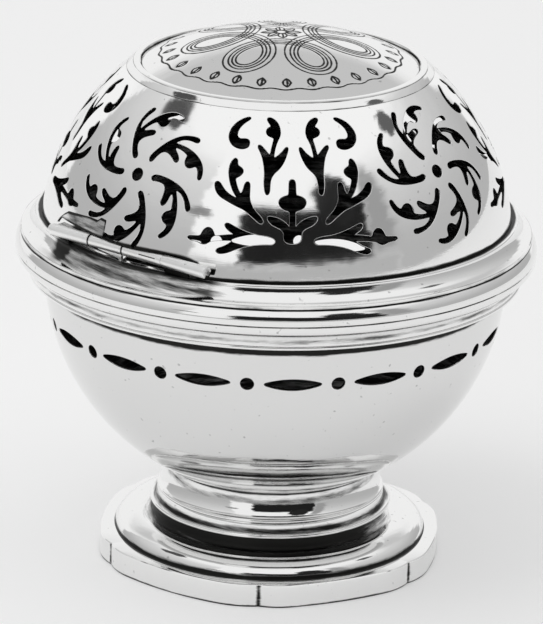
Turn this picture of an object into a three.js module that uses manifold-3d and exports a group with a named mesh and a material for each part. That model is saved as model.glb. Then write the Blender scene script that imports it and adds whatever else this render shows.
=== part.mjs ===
// A silver sponge box for the toilet table: a pierced globe that opens at a moulded girdle, hinged
// at the back, on a spreading foot with a six-lobed plinth. Millimetres, +Z up, origin at the middle
// of the underside, hinge at the back (+Y).
import * as THREE from 'three';
import { mergeVertices } from 'three/addons/utils/BufferGeometryUtils.js';
import Module from 'manifold-3d';

const wasm = await Module();
wasm.setup();

// Sheet and clearances
const shellWall = 0.8;
const footWall = 0.9;
const solderGap = 0.3;
const ringSegments = 32;
const cutMargin = 1;

// Plinth: six lobes, each a flat arc between two rounder shoulders, round the foot's ovolo
const plinthHeight = 4.3;
const plinthWall = 1.2;
const plinthLedge = 1.0;
const plinthMargin = 2.4;
const lobeCount = 6;
const lobeFaceRadius = 53.5;
const lobeShoulderRadius = 12;
const lobeShoulderAngle = 10.8;
const plinthTurn = 3.2;
const seamWidth = 1.0;

// Foot: a low ovolo and a short neck, set back under the stem's edge
const ovoloRise = 2.9;
const ovoloReach = 5.4;
const ovoloSweep = 84;
const neckStep = 1.7;
const neckRise = 2.2;
const neckFlare = 0.2;
const edgeOverhang = 0.6;

// Stem: a thin edge, a small ledge and a spool that carries the bowl
const edgeThickness = 0.9;
const edgeReach = 1.8;
const ledgeRise = 1.1;
const ledgeReach = 1.5;
const stemRise = 5.6;
const stemCollar = 0.5;
const stemShoulder = 1.5;
const stemNeckRadius = 19.0;

// Bowl: a sphere flattened where it stands on the stem, pierced with a band of dots and lozenges
const bowlRadius = 42.3;
const bandDrop = 8.8;
const bandRepeats = 16;
const bandTurn = -0.8;
const bandDotRadius = 1.22;
const lozengeHalfLength = 5.2;
const lozengeHalfHeight = 1.15;
const lozengeTip = 0.18;

// Girdle: two mouldings round the mouth, hollow behind, that meet in a fine seam
const girdleWall = 1.3;
const girdleDrop = 1.2;
const girdleSeat = 1.0;
const girdleFootReach = 2.7;
const girdleReach = 5.2;
const lowerMouldingHeight = 5.1;
const toeHeight = 0.7;
const toeFlare = 0.1;
const coveStep = 0.5;
const coveEase = 0.2;
const filletHeight = 1.6;
const filletRound = 0.3;
const upperMouldingHeight = 6.5;
const beadStraight = 1.6;
const beadHeight = 2.7;
const beadInset = 0.6;
const grooveDepth = 0.25;
const grooveHeight = 0.3;
const hollowSlope = 0.8;
const lipThickness = 0.6;
const lipMargin = 0.7;

// Bezel: the ring inside the mouth that centres the lid
const bezelWall = 0.7;
const bezelDepth = 10.2;
const bezelRise = 1.3;

// Lid: a sphere a little wider than the bowl, from the lip to a framed panel at the top
const lidMargin = 0.9;
const lidDrop = 6.3;
const frameAngle = 40;
const frameWidth = 2.46;
const frameHeight = 1.35;
const frameShoulder = 1.2;
const frameSlope = 0.3;
const frameLedgeThickness = 0.4;
const frameLedgeWidth = 1.3;
const panelRadius = 56;
const panelEdgeHeight = 0.5;

// Piercing of the lid: four rosettes and, between them, four bouquets, drawn for a lid of this radius
const drawnLidRadius = 43.2;
const motifRepeats = 4;
const motifTurn = -1.8;
const rosetteSprigs = 6;
const rosetteDotRadius = 1.2;
const rosetteDepth = 13.0;
const rosetteClearance = 0.25;
const bouquetDrop = 2;
const sawReach = 1.5;
const curveDivisions = 2;

// Hinge: a straight barrel of four knuckles across the back, on a wire pin
const hingeInset = 2.0;
const barrelLift = 0.8;
const barrelHalfLength = 18.3;
const barrelSides = 20;
const knuckleRadius = 1.1;
const knuckleJoints = [9.0, 1.5, -8.4];
const knuckleGap = 0.3;
const pinRadius = 0.45;
const pinClearance = 0.25;
const pinOverhang = 0.2;
const kneeWidth = 1.4;
const leafThickness = 0.6;
const leafInnerEnd = 5.4;
const leafFoot = 1.6;
const leafRise = 4.5;
const leafOverhang = 1.6;
const leafSlope = 1.6;
const leafShoulder = 1.8;
const webDepth = 4;
const webHeight = 1.0;

// Heights, built up from the table
const footNeckTop = plinthHeight + ovoloRise + neckRise;
const stemEdgeTop = footNeckTop + edgeThickness;
const stemLedgeTop = stemEdgeTop + ledgeRise;
const stemTop = stemLedgeTop + stemRise;
const bowlCentre = stemTop + Math.sqrt(bowlRadius ** 2 - stemNeckRadius ** 2);
const girdleBottom = bowlCentre - girdleDrop;
const girdleSeam = girdleBottom + lowerMouldingHeight;
const lipTop = girdleSeam + upperMouldingHeight;
const lidCentre = lipTop - lidDrop;
const hingeAxisZ = lipTop + barrelLift + knuckleRadius;

// Radii, from the stem out to the plinth and from the bowl out to the girdle and the lid
const stemLedgeRadius = stemNeckRadius + ledgeReach;
const stemEdgeRadius = stemLedgeRadius + edgeReach;
const footNeckRadius = stemEdgeRadius - edgeOverhang;
const ovoloTopRadius = footNeckRadius + neckStep;
const ovoloRadius = ovoloTopRadius + ovoloReach;
const lobeReach = ovoloRadius + plinthMargin;
const girdleInner = bowlRadius - girdleSeat;
const girdleFootRadius = bowlRadius + girdleFootReach;
const girdleRadius = bowlRadius + girdleReach;
const lidRadius = bowlRadius + lidMargin;
const lipRadius = lidRadius + lipMargin;
const hingeAxisY = lidRadius - hingeInset;

const degrees = Math.PI / 180;
const backAngle = 90;

// The ring round the lid's top lies where the sphere is cut
const frameRadius = lidRadius * Math.sin(frameAngle * degrees);
const frameBase = lidCentre + lidRadius * Math.cos(frameAngle * degrees);
const frameTop = frameBase + frameHeight;
const frameLedge = frameBase + frameLedgeThickness;
const frameInner = frameRadius - frameWidth;
const frameLedgeInner = frameInner - frameLedgeWidth;

// The lowest tips of the rosettes clear the hinge's barrel; the bouquets lie a little lower
const barrelElevation = Math.asin((hingeAxisZ + knuckleRadius - lidCentre) / lidRadius) / degrees;
const rosetteElevation = barrelElevation + (rosetteDepth + rosetteClearance) / drawnLidRadius / degrees;
const bouquetElevation = rosetteElevation - bouquetDrop;

// A solid from a closed mesh: vertices merged by position, faces turned outward
function solid(geometry) {
  let shape = geometry.clone();
  shape.deleteAttribute('normal');
  shape.deleteAttribute('uv');
  shape = mergeVertices(shape, 1e-5);
  const vertProperties = new Float32Array(shape.attributes.position.array);
  const triVerts = new Uint32Array(shape.index.array);
  const corners = [0, 1, 2].map(() => new THREE.Vector3());
  let volume = 0;
  for (let i = 0; i < triVerts.length; i += 3) {
    corners.forEach((corner, k) => corner.fromArray(vertProperties, 3 * triVerts[i + k]));
    volume += corners[0].dot(corners[1].clone().cross(corners[2]));
  }
  if (volume < 0) {
    for (let i = 0; i < triVerts.length; i += 3) {
      [triVerts[i], triVerts[i + 1]] = [triVerts[i + 1], triVerts[i]];
    }
  }
  return new wasm.Manifold(new wasm.Mesh({ numProp: 3, vertProperties, triVerts }));
}

function geometryOf(manifold) {
  const mesh = manifold.getMesh();
  const geometry = new THREE.BufferGeometry();
  geometry.setAttribute('position', new THREE.BufferAttribute(new Float32Array(mesh.vertProperties), 3));
  geometry.setIndex(new THREE.BufferAttribute(new Uint32Array(mesh.triVerts), 1));
  geometry.computeVertexNormals();
  return geometry;
}

// Points of a circular or elliptical arc in a profile plane, angles in degrees
function arc(centreR, centreZ, radiusR, radiusZ, from, to, steps) {
  const points = [];
  for (let i = 0; i <= steps; i += 1) {
    const angle = (from + ((to - from) * i) / steps) * degrees;
    points.push([centreR + radiusR * Math.cos(angle), centreZ + radiusZ * Math.sin(angle)]);
  }
  return points;
}

// A closed profile of [radius, height] points turned about the Z axis
function turned(profile, segments = ringSegments) {
  const outline = profile.map(([r, z]) => new THREE.Vector2(r, z));
  const onAxis = profile[0][0] === 0 && profile[profile.length - 1][0] === 0;
  if (!onAxis) outline.push(outline[0].clone());
  const geometry = new THREE.LatheGeometry(outline, segments);
  geometry.rotateX(Math.PI / 2);
  return solid(geometry);
}

function sphereAngle(height, centre, radius) {
  return Math.asin((height - centre) / radius) / degrees;
}

// A meridian of a sphere about the Z axis, from one height to another
function meridian(centre, radius, from, to, steps) {
  return arc(0, centre, radius, radius,
    sphereAngle(from, centre, radius), sphereAngle(to, centre, radius), steps);
}

function box(x0, x1, y0, y1, z0, z1) {
  const geometry = new THREE.BoxGeometry(x1 - x0, y1 - y0, z1 - z0);
  geometry.translate((x0 + x1) / 2, (y0 + y1) / 2, (z0 + z1) / 2);
  return solid(geometry);
}

// A cylinder along the hinge axis, from x0 to x1
function hingeCylinder(radius, x0, x1) {
  const geometry = new THREE.CylinderGeometry(radius, radius, x1 - x0, barrelSides);
  geometry.rotateZ(Math.PI / 2);
  geometry.translate((x0 + x1) / 2, hingeAxisY, hingeAxisZ);
  return solid(geometry);
}

function lidBall(radius) {
  const geometry = new THREE.SphereGeometry(radius, 96, 48);
  geometry.translate(0, 0, lidCentre);
  return solid(geometry);
}

// Directions on a sphere from points of a motif about its middle, where the motif is drawn in
// millimetres for a sphere of drawnRadius
function surfaceFrame(azimuth, elevation, drawnRadius) {
  const a = azimuth * degrees;
  const e = elevation * degrees;
  const middle = new THREE.Vector3(Math.cos(e) * Math.cos(a), Math.cos(e) * Math.sin(a), Math.sin(e));
  const right = new THREE.Vector3(-Math.sin(a), Math.cos(a), 0);
  const up = new THREE.Vector3().crossVectors(middle, right);
  return ([u, v]) => {
    const distance = Math.hypot(u, v);
    if (distance === 0) return middle.clone();
    const tangent = right.clone().multiplyScalar(u / distance).addScaledVector(up, v / distance);
    const angle = distance / drawnRadius;
    return middle.clone().multiplyScalar(Math.cos(angle)).addScaledVector(tangent, Math.sin(angle));
  };
}

// A saw cut through a spherical wall: a pyramid from the sphere's centre, so that the sides of the
// opening follow the radii, over an outline drawn on the surface
function sawCut(outline, toDirection, centre, radius) {
  const contour = outline.map(([u, v]) => new THREE.Vector2(u, v));
  if (THREE.ShapeUtils.isClockWise(contour)) contour.reverse();
  const index = THREE.ShapeUtils.triangulateShape(contour, []).flat();
  const positions = [];
  contour.forEach((point) => {
    const tip = toDirection([point.x, point.y]).multiplyScalar(radius + sawReach);
    positions.push(tip.x, tip.y, tip.z + centre);
  });
  positions.push(0, 0, centre);
  const apex = contour.length;
  contour.forEach((point, i) => index.push((i + 1) % apex, i, apex));
  const geometry = new THREE.BufferGeometry();
  geometry.setAttribute('position', new THREE.BufferAttribute(new Float32Array(positions), 3));
  geometry.setIndex(index);
  return solid(geometry);
}

function ellipse(u, v, radiusU, radiusV, count = 8) {
  const points = [];
  for (let i = 0; i < count; i += 1) {
    const angle = (2 * Math.PI * (i + 0.5)) / count;
    points.push([u + radiusU * Math.cos(angle), v + radiusV * Math.sin(angle)]);
  }
  return points;
}

// A closed outline from a start and steps that are either [end] for a line or [control, end] for a curve
function outlineOf(start, steps) {
  const path = new THREE.Path();
  path.moveTo(...start);
  steps.forEach((step) => {
    if (step.length === 1) path.lineTo(...step[0]);
    else path.quadraticCurveTo(...step[0], ...step[1]);
  });
  return path.getPoints(curveDivisions).slice(0, -1).map((point) => [point.x, point.y]);
}

// One sprig of the rosette, lying along +u from the middle: a stem that bends to a point, a second
// stem that hooks down past a berry, and a short leaf
const rosetteSprig = outlineOf([3.2, 0.1], [
  [[6.4, 1.6], [9.6, 0.3]],
  [[12.2, -0.9], [12.8, -3.8]],
  [[11.5, -1.9], [9.5, -1.1]],
  [[11.5, -5.6], [8.0, -10.0]],
  [[8.9, -7.1]],
  [[6.7, -6.0], [8.9, -4.5]],
  [[8.3, -1.6]],
  [[7.6, -4.3]],
  [[6.5, -4.0]],
  [[6.9, -0.5]],
  [[3.2, 0.1]],
]);

// The bouquet, right half: each outline is mirrored for the left half
const bouquetHalf = {
  upperSprig: outlineOf([4.9, 0.8], [
    [[5.4, 5.2]],
    [[5.6, 7.8], [6.2, 10.4]],
    [[5.0, 9.4], [4.5, 7.8]],
    [[3.5, 11.4]],
    [[5.1, 12.7], [3.3, 13.9]],
    [[4.8, 15.1]],
    [[2.2, 15.8], [1.7, 12.9]],
    [[2.7, 11.2]],
    [[3.5, 7.8]],
    [[0.8, 9.9]],
    [[1.6, 6.9], [4.0, 4.8]],
    [[4.9, 0.8]],
  ]),
  sideSprig: outlineOf([5.5, -4.3], [
    [[7.6, -1.8], [9.6, -0.9]],
    [[13.0, 0.2], [14.1, 3.9]],
    [[12.2, 1.7], [10.3, 0.9]],
    [[12.2, 4.4], [10.0, 8.1]],
    [[9.9, 6.6]],
    [[7.2, 5.3], [9.8, 3.8]],
    [[9.1, 1.4]],
    [[8.7, 3.8]],
    [[7.6, 3.6]],
    [[7.7, 0.4]],
    [[5.5, -4.3]],
  ]),
  lowerSprig: outlineOf([3.2, -7.3], [
    [[5.4, -5.8], [7.6, -6.0]],
    [[10.0, -4.4], [13.0, -3.6]],
    [[9.8, -6.2]],
    [[13.7, -6.3]],
    [[14.8, -3.2], [16.1, -6.4]],
    [[18.9, -6.9]],
    [[17.3, -7.5]],
    [[16.3, -8.9], [15.2, -7.3]],
    [[11.5, -7.1]],
    [[13.9, -9.3]],
    [[10.8, -8.9], [9.0, -7.0]],
    [[3.2, -7.3]],
  ]),
  comma: outlineOf([7.4, 10.5], [
    [[8.1, 8.7], [9.8, 9.3]],
    [[12.6, 10.5], [11.4, 13.2]],
    [[10.2, 15.2], [6.9, 15.9]],
    [[9.9, 14.0], [9.9, 12.0]],
    [[8.1, 12.1], [7.4, 10.5]],
  ]),
};

// The middle of the bouquet, right half from the bud down to the cup
const palmetteStart = [0, 3.6];
const palmetteHalf = outlineOf(palmetteStart, [
  [[0.5, 0.4]],
  [[4.3, -0.8], [0.45, -2.1]],
  [[0.45, -4.9]],
  [[2.2, -4.3], [4.5, -2.7]],
  [[3.6, -5.0], [1.4, -6.0]],
  [[1.6, -7.9], [0, -7.9]],
  [palmetteStart],
]);
const palmette = [
  ...palmetteHalf,
  ...palmetteHalf.slice(1, -1).reverse().map(([u, v]) => [-u, v]),
];

function rotatePoint([u, v], angle) {
  const a = angle * degrees;
  return [u * Math.cos(a) - v * Math.sin(a), u * Math.sin(a) + v * Math.cos(a)];
}

function rosetteCuts(azimuth) {
  const toDirection = surfaceFrame(azimuth, rosetteElevation, drawnLidRadius);
  const outlines = [ellipse(0, 0, rosetteDotRadius, rosetteDotRadius)];
  for (let i = 0; i < rosetteSprigs; i += 1) {
    outlines.push(rosetteSprig.map((point) => rotatePoint(point, (360 / rosetteSprigs) * i)));
  }
  return outlines.map((outline) => sawCut(outline, toDirection, lidCentre, lidRadius));
}

function bouquetCuts(azimuth) {
  const toDirection = surfaceFrame(azimuth, bouquetElevation, drawnLidRadius);
  const outlines = [palmette];
  Object.values(bouquetHalf).forEach((half) => {
    outlines.push(half, half.map(([u, v]) => [-u, v]));
  });
  return outlines.map((outline) => sawCut(outline, toDirection, lidCentre, lidRadius));
}

function bandCuts() {
  const elevation = sphereAngle(bowlCentre - bandDrop, bowlCentre, bowlRadius);
  const lozenge = outlineOf([-lozengeHalfLength, -lozengeTip], [
    [[0, lozengeTip - 2 * lozengeHalfHeight], [lozengeHalfLength, -lozengeTip]],
    [[lozengeHalfLength, lozengeTip]],
    [[0, 2 * lozengeHalfHeight - lozengeTip], [-lozengeHalfLength, lozengeTip]],
    [[-lozengeHalfLength, -lozengeTip]],
  ]);
  const cuts = [];
  for (let i = 0; i < bandRepeats; i += 1) {
    const pitch = 360 / bandRepeats;
    const azimuth = backAngle + bandTurn + pitch * i;
    const onLozenge = surfaceFrame(azimuth, elevation, bowlRadius);
    const onDot = surfaceFrame(azimuth + pitch / 2, elevation, bowlRadius);
    cuts.push(sawCut(lozenge, onLozenge, bowlCentre, bowlRadius));
    cuts.push(sawCut(ellipse(0, 0, bandDotRadius, bandDotRadius), onDot, bowlCentre, bowlRadius));
  }
  return cuts;
}

// Outline of the plinth, set in by a distance from its outer face
function lobedOutline(inset) {
  const faceCentre = lobeReach - lobeFaceRadius;
  const shoulderOffset = lobeFaceRadius - lobeShoulderRadius;
  const shoulder = lobeShoulderAngle * degrees;
  const shoulderX = faceCentre + shoulderOffset * Math.cos(shoulder);
  const shoulderY = shoulderOffset * Math.sin(shoulder);
  const reach = lobeShoulderRadius - inset;
  const crease = Math.PI / lobeCount;
  const shoulderDistance = Math.hypot(shoulderX, shoulderY);
  const awayFromCrease = crease - Math.atan2(shoulderY, shoulderX);
  const creaseRadius = shoulderDistance * Math.cos(awayFromCrease)
    + Math.sqrt(reach ** 2 - (shoulderDistance * Math.sin(awayFromCrease)) ** 2);
  const creaseAngle = Math.atan2(
    creaseRadius * Math.sin(crease) - shoulderY,
    creaseRadius * Math.cos(crease) - shoulderX,
  ) / degrees;
  const upper = arc(shoulderX, shoulderY, reach, reach, lobeShoulderAngle, creaseAngle, 3).slice(1);
  const face = lobeFaceRadius - inset;
  const middle = arc(faceCentre, 0, face, face, -lobeShoulderAngle, lobeShoulderAngle, 4);
  const lower = upper.slice(0, -1).reverse().map(([x, y]) => [x, -y]);
  const lobe = [...lower, ...middle, ...upper];
  const outline = new THREE.Shape();
  for (let i = 0; i < lobeCount; i += 1) {
    const turn = backAngle + plinthTurn + (360 / lobeCount) * i;
    lobe.forEach((point) => {
      const [x, y] = rotatePoint(point, turn);
      if (outline.curves.length === 0 && outline.currentPoint.length() === 0) outline.moveTo(x, y);
      else outline.lineTo(x, y);
    });
  }
  outline.closePath();
  return outline;
}

function extruded(outline, bottom, top) {
  const geometry = new THREE.ExtrudeGeometry(outline, { depth: top - bottom, bevelEnabled: false });
  geometry.translate(0, 0, bottom);
  return solid(geometry);
}

function footPlinth() {
  const hollow = extruded(lobedOutline(plinthWall), -cutMargin, plinthHeight - plinthLedge);
  const holeRadius = ovoloRadius - footWall - seamWidth;
  const hole = turned([
    [0, -cutMargin],
    [holeRadius, -cutMargin],
    [holeRadius, plinthHeight + cutMargin],
    [0, plinthHeight + cutMargin],
  ]);
  return extruded(lobedOutline(0), 0, plinthHeight).subtract(hollow).subtract(hole);
}

function footDome() {
  const top = plinthHeight + ovoloRise;
  const innerReach = ovoloReach - footWall;
  const innerRise = ovoloRise - footWall;
  return turned([
    ...arc(ovoloTopRadius, plinthHeight, ovoloReach, ovoloRise, 0, ovoloSweep, 4),
    [footNeckRadius + neckFlare, top + neckFlare],
    [footNeckRadius, footNeckTop],
    [footNeckRadius - footWall, footNeckTop],
    [footNeckRadius - footWall, top],
    ...arc(ovoloTopRadius, plinthHeight, innerReach, innerRise, ovoloSweep, 0, 2),
  ]);
}

function footStem() {
  const hollow = new THREE.QuadraticBezierCurve(
    new THREE.Vector2(stemLedgeRadius, stemLedgeTop),
    new THREE.Vector2(stemNeckRadius, stemLedgeTop + stemShoulder),
    new THREE.Vector2(stemNeckRadius, stemTop - stemCollar),
  ).getPoints(3).map((point) => [point.x, point.y]);
  return turned([
    [footNeckRadius - footWall, footNeckTop],
    [stemEdgeRadius, footNeckTop],
    [stemEdgeRadius, stemEdgeTop],
    ...hollow,
    [stemNeckRadius, stemTop],
    [stemNeckRadius - footWall, stemTop],
    [stemNeckRadius - footWall, stemLedgeTop + stemShoulder],
  ]);
}

function bowl() {
  const floor = stemTop + shellWall;
  const cup = turned([
    [0, stemTop],
    ...meridian(bowlCentre, bowlRadius, stemTop, girdleBottom, 5),
    ...meridian(bowlCentre, bowlRadius - shellWall, girdleBottom, floor, 5),
    [0, floor],
  ]);
  return bandCuts().reduce((whole, cut) => whole.subtract(cut), cup);
}

function girdleLower() {
  const filletBottom = girdleSeam - filletHeight;
  const toeTop = girdleBottom + toeHeight;
  const coveRadius = girdleRadius - coveStep;
  const coveReach = coveRadius - girdleFootRadius - toeFlare;
  return turned([
    [girdleInner, girdleBottom],
    [girdleFootRadius, girdleBottom],
    ...arc(coveRadius, toeTop, coveReach, filletBottom - toeTop - coveEase, 180, 90, 3),
    [girdleRadius, filletBottom + filletRound],
    [girdleRadius, girdleSeam],
    [girdleInner, girdleSeam],
    [girdleInner, girdleSeam - girdleWall],
    [girdleFootRadius - girdleWall, girdleSeam - girdleWall],
    [girdleInner, girdleBottom + girdleWall],
  ]);
}

function girdleUpper() {
  const beadTop = girdleSeam + beadHeight;
  const beadTopRadius = girdleRadius - beadInset;
  const coveBottom = beadTop + grooveHeight;
  const coveTop = lipTop - lipThickness;
  return turned([
    [girdleInner, girdleSeam],
    [girdleRadius, girdleSeam],
    [girdleRadius, girdleSeam + beadStraight],
    [beadTopRadius + grooveDepth, beadTop],
    [beadTopRadius - grooveDepth, beadTop],
    ...arc(beadTopRadius, coveTop, beadTopRadius - lipRadius, coveTop - coveBottom, 270, 180, 3),
    [lipRadius, lipTop],
    [girdleInner, lipTop],
    [girdleInner, lipTop - girdleWall],
    [lipRadius - girdleWall, lipTop - girdleWall - solderGap],
    [girdleRadius - girdleWall - hollowSlope, girdleSeam + girdleWall],
    [girdleInner, girdleSeam + girdleWall],
  ]);
}

// The bezel is cut down behind, where the lid's wall swings past it
function bezelRing() {
  const outer = girdleInner - solderGap;
  const top = lipTop + bezelRise;
  const ring = turned([
    [outer - bezelWall, lipTop - bezelDepth],
    [outer, lipTop - bezelDepth],
    [outer, top],
    [outer - bezelWall, top],
  ]);
  const reach = barrelHalfLength + cutMargin;
  return ring.subtract(box(-reach, reach, 0, girdleRadius, lipTop - solderGap, top + cutMargin));
}

function lidDome() {
  const wall = turned([
    ...meridian(lidCentre, lidRadius, lipTop, frameBase, 4),
    ...meridian(lidCentre, lidRadius - shellWall, frameBase, lipTop, 4),
  ]);
  const end = barrelHalfLength + 2 * knuckleGap;
  const reach = knuckleRadius + solderGap;
  const notch = hingeCylinder(reach, -end, end)
    .add(box(-end, end, hingeAxisY - reach, girdleRadius, lipTop - cutMargin, hingeAxisZ));
  const cuts = [];
  for (let i = 0; i < motifRepeats; i += 1) {
    const azimuth = backAngle + motifTurn + (360 / motifRepeats) * i;
    cuts.push(...rosetteCuts(azimuth));
    cuts.push(...bouquetCuts(azimuth + 180 / motifRepeats));
  }
  return cuts.reduce((whole, cut) => whole.subtract(cut), wall.subtract(notch));
}

function lidFrame() {
  return turned([
    [frameLedgeInner, frameBase],
    [frameRadius, frameBase],
    [frameRadius - frameShoulder / 2, frameTop - frameSlope],
    [frameRadius - frameShoulder, frameTop],
    [frameInner, frameTop],
    [frameInner, frameLedge],
    [frameLedgeInner, frameLedge],
  ]);
}

function lidPanel() {
  const edge = frameInner - solderGap;
  const edgeTop = frameLedge + panelEdgeHeight;
  const centre = edgeTop - Math.sqrt(panelRadius ** 2 - edge ** 2);
  const inner = panelRadius - shellWall;
  return turned([
    [0, centre + inner],
    ...arc(0, centre, inner, inner, 90, sphereAngle(frameLedge, centre, inner), 3).slice(1),
    [edge, frameLedge],
    ...arc(0, centre, panelRadius, panelRadius, sphereAngle(edgeTop, centre, panelRadius), 90, 4)
      .slice(0, -1),
    [0, centre + panelRadius],
  ]);
}

// Ends of the four knuckles along the barrel, the hinge's gaps taken out
function knuckleSpans() {
  const marks = [barrelHalfLength, ...knuckleJoints, -barrelHalfLength];
  return marks.slice(0, -1).map((mark, i) => {
    const outer = i === 0 ? mark : mark - knuckleGap / 2;
    const inner = i === marks.length - 2 ? marks[i + 1] : marks[i + 1] + knuckleGap / 2;
    return [inner, outer];
  });
}

function pinBore([x0, x1]) {
  return hingeCylinder(pinRadius + pinClearance, x0 - cutMargin, x1 + cutMargin);
}

function knuckle([x0, x1]) {
  return hingeCylinder(knuckleRadius, x0, x1).subtract(pinBore([x0, x1]));
}

// A body knuckle stands on the lip on a narrow knee
function bodyKnuckle([x0, x1]) {
  const side = kneeWidth / 2;
  const knee = box(x0, x1, hingeAxisY - side, hingeAxisY + side, lipTop, hingeAxisZ);
  return hingeCylinder(knuckleRadius, x0, x1).add(knee).subtract(pinBore([x0, x1]));
}

// The lid's leaf lies on the lid above the barrel. A web joins it to the first knuckle.
function lidLeaf([x0, x1]) {
  const top = hingeAxisZ + leafRise;
  const outline = new THREE.Shape();
  outline.moveTo(leafInnerEnd, hingeAxisZ + leafFoot);
  outline.lineTo(leafInnerEnd, top);
  outline.quadraticCurveTo(x0, top, x1 - leafShoulder, top - leafSlope);
  outline.quadraticCurveTo(x1 + leafOverhang / 2, top - 2 * leafSlope, x1 + leafOverhang, hingeAxisZ);
  outline.lineTo(x1, hingeAxisZ);
  outline.closePath();
  const plate = new THREE.ExtrudeGeometry(outline, {
    depth: girdleRadius,
    bevelEnabled: false,
    curveSegments: 4,
  });
  plate.rotateX(Math.PI / 2);
  plate.translate(0, girdleRadius, 0);
  const skin = lidBall(lidRadius + solderGap + leafThickness).intersect(solid(plate));
  const web = box(x0, x1, hingeAxisY - webDepth, hingeAxisY, hingeAxisZ, hingeAxisZ + webHeight);
  const otherKnuckles = hingeCylinder(knuckleRadius + solderGap, -barrelHalfLength, x0);
  return skin.add(web)
    .subtract(lidBall(lidRadius + solderGap))
    .subtract(otherKnuckles)
    .add(hingeCylinder(knuckleRadius, x0, x1))
    .subtract(pinBore([x0, x1]));
}

function hingePin() {
  return hingeCylinder(pinRadius, -barrelHalfLength - pinOverhang, barrelHalfLength + pinOverhang);
}

const [leafSpan, bodyCentreSpan, lidCentreSpan, bodyEndSpan] = knuckleSpans();
const pieces = {
  foot_plinth: footPlinth(),
  foot_dome: footDome(),
  foot_stem: footStem(),
  bowl: bowl(),
  girdle_lower_moulding: girdleLower(),
  girdle_upper_moulding: girdleUpper(),
  bezel_ring: bezelRing(),
  body_knuckle_centre: bodyKnuckle(bodyCentreSpan),
  body_knuckle_end: bodyKnuckle(bodyEndSpan),
  hinge_pin: hingePin(),
  lid_dome: lidDome(),
  lid_hinge_leaf: lidLeaf(leafSpan),
  lid_knuckle_centre: knuckle(lidCentreSpan),
  lid_top_frame: lidFrame(),
  lid_top_panel: lidPanel(),
};

const spongeBox = new THREE.Group();
Object.entries(pieces).forEach(([name, manifold]) => {
  const silver = new THREE.MeshStandardMaterial({ color: 0xd8d8d4, roughness: 0.16, metalness: 1 });
  const mesh = new THREE.Mesh(geometryOf(manifold), silver);
  mesh.name = name;
  spongeBox.add(mesh);
});

export default spongeBox;
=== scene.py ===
import bmesh
import bpy
import numpy as np
from mathutils import Matrix, Vector
from mathutils.geometry import delaunay_2d_cdt


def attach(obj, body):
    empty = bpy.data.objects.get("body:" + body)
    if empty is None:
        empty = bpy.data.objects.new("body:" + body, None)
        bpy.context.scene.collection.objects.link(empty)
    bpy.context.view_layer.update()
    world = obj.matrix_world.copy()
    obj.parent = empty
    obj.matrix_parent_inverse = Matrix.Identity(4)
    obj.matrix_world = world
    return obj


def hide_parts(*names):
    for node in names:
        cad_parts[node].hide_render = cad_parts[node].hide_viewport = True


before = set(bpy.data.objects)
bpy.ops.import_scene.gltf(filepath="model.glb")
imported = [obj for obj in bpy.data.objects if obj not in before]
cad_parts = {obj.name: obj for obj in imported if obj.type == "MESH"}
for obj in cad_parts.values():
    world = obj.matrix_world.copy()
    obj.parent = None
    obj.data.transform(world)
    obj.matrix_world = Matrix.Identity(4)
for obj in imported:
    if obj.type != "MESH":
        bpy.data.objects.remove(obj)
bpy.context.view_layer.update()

mm = 0.001


# The plinth: a band of sheet silver bent into six lobes, with a flat ledge soldered on its top.
# It carries the whole box. The band stands a little proud at each shoulder and meets in a crease.
plinth_height = 4.3
plinth_wall = 1.2
plinth_ledge = 1.0
plinth_edge = 0.35
plinth_turn = 93.2
lobe_count = 6
lobe_reach = 31.2
lobe_face_radius = 53.5
lobe_shoulder_radius = 12.0
lobe_shoulder_angle = 10.8
slipped_crease = 123.2
crease_slip = 3.1
slip_reach = 16.0
foot_dome_radius = 28.8
ledge_lap = 1.9
deepest_inset = 5.0
on_inner_circle = 9.0


def bell(distance, width):
    """A bell curve, 1 where distance is 0: exp(-(distance / width)^2)."""
    return np.exp(-((distance / width) ** 2))


def once_round(count):
    """This many angles at even steps round a full turn, in radians."""
    return np.linspace(0, 2 * np.pi, count, endpoint=False)


def arc(centre_r, centre_z, radius_r, radius_z, start, end, count):
    """Points (centre_r + radius_r cos t, centre_z + radius_z sin t) for t from start to end degrees."""
    t = np.radians(np.linspace(start, end, count))
    return np.stack([centre_r + radius_r * np.cos(t), centre_z + radius_z * np.sin(t)], axis=1)


def about_axis(r, angle, z):
    """Points x = r cos angle, y = r sin angle, z, from numbers or arrays that fit together."""
    r, angle, z = np.broadcast_arrays(r, angle, z)
    return np.stack([r * np.cos(angle), r * np.sin(angle), z], axis=-1)


def rounded(points, radius, count=4):
    """A closed profile whose corners are replaced by quadratic curves that start radius before each
    corner and end radius after it: p = (1-t)^2 a + 2t(1-t) corner + t^2 b."""
    points = np.asarray(points, float)
    ends = []
    for neighbour in (np.roll(points, 1, axis=0), np.roll(points, -1, axis=0)):
        length = np.linalg.norm(neighbour - points, axis=1, keepdims=True)
        ends.append(points + (neighbour - points) / length * np.minimum(radius, length * 0.45))
    a, b = ends
    t = np.linspace(0, 1, count)[None, :, None]
    curve = (1 - t) ** 2 * a[:, None] + 2 * t * (1 - t) * points[:, None] + t**2 * b[:, None]
    return curve.reshape(-1, 2)


def placed(name, data):
    """An object of this mesh, lamp or camera, standing in the scene."""
    thing = bpy.data.objects.new(name, data)
    bpy.context.collection.objects.link(thing)
    return thing


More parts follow.
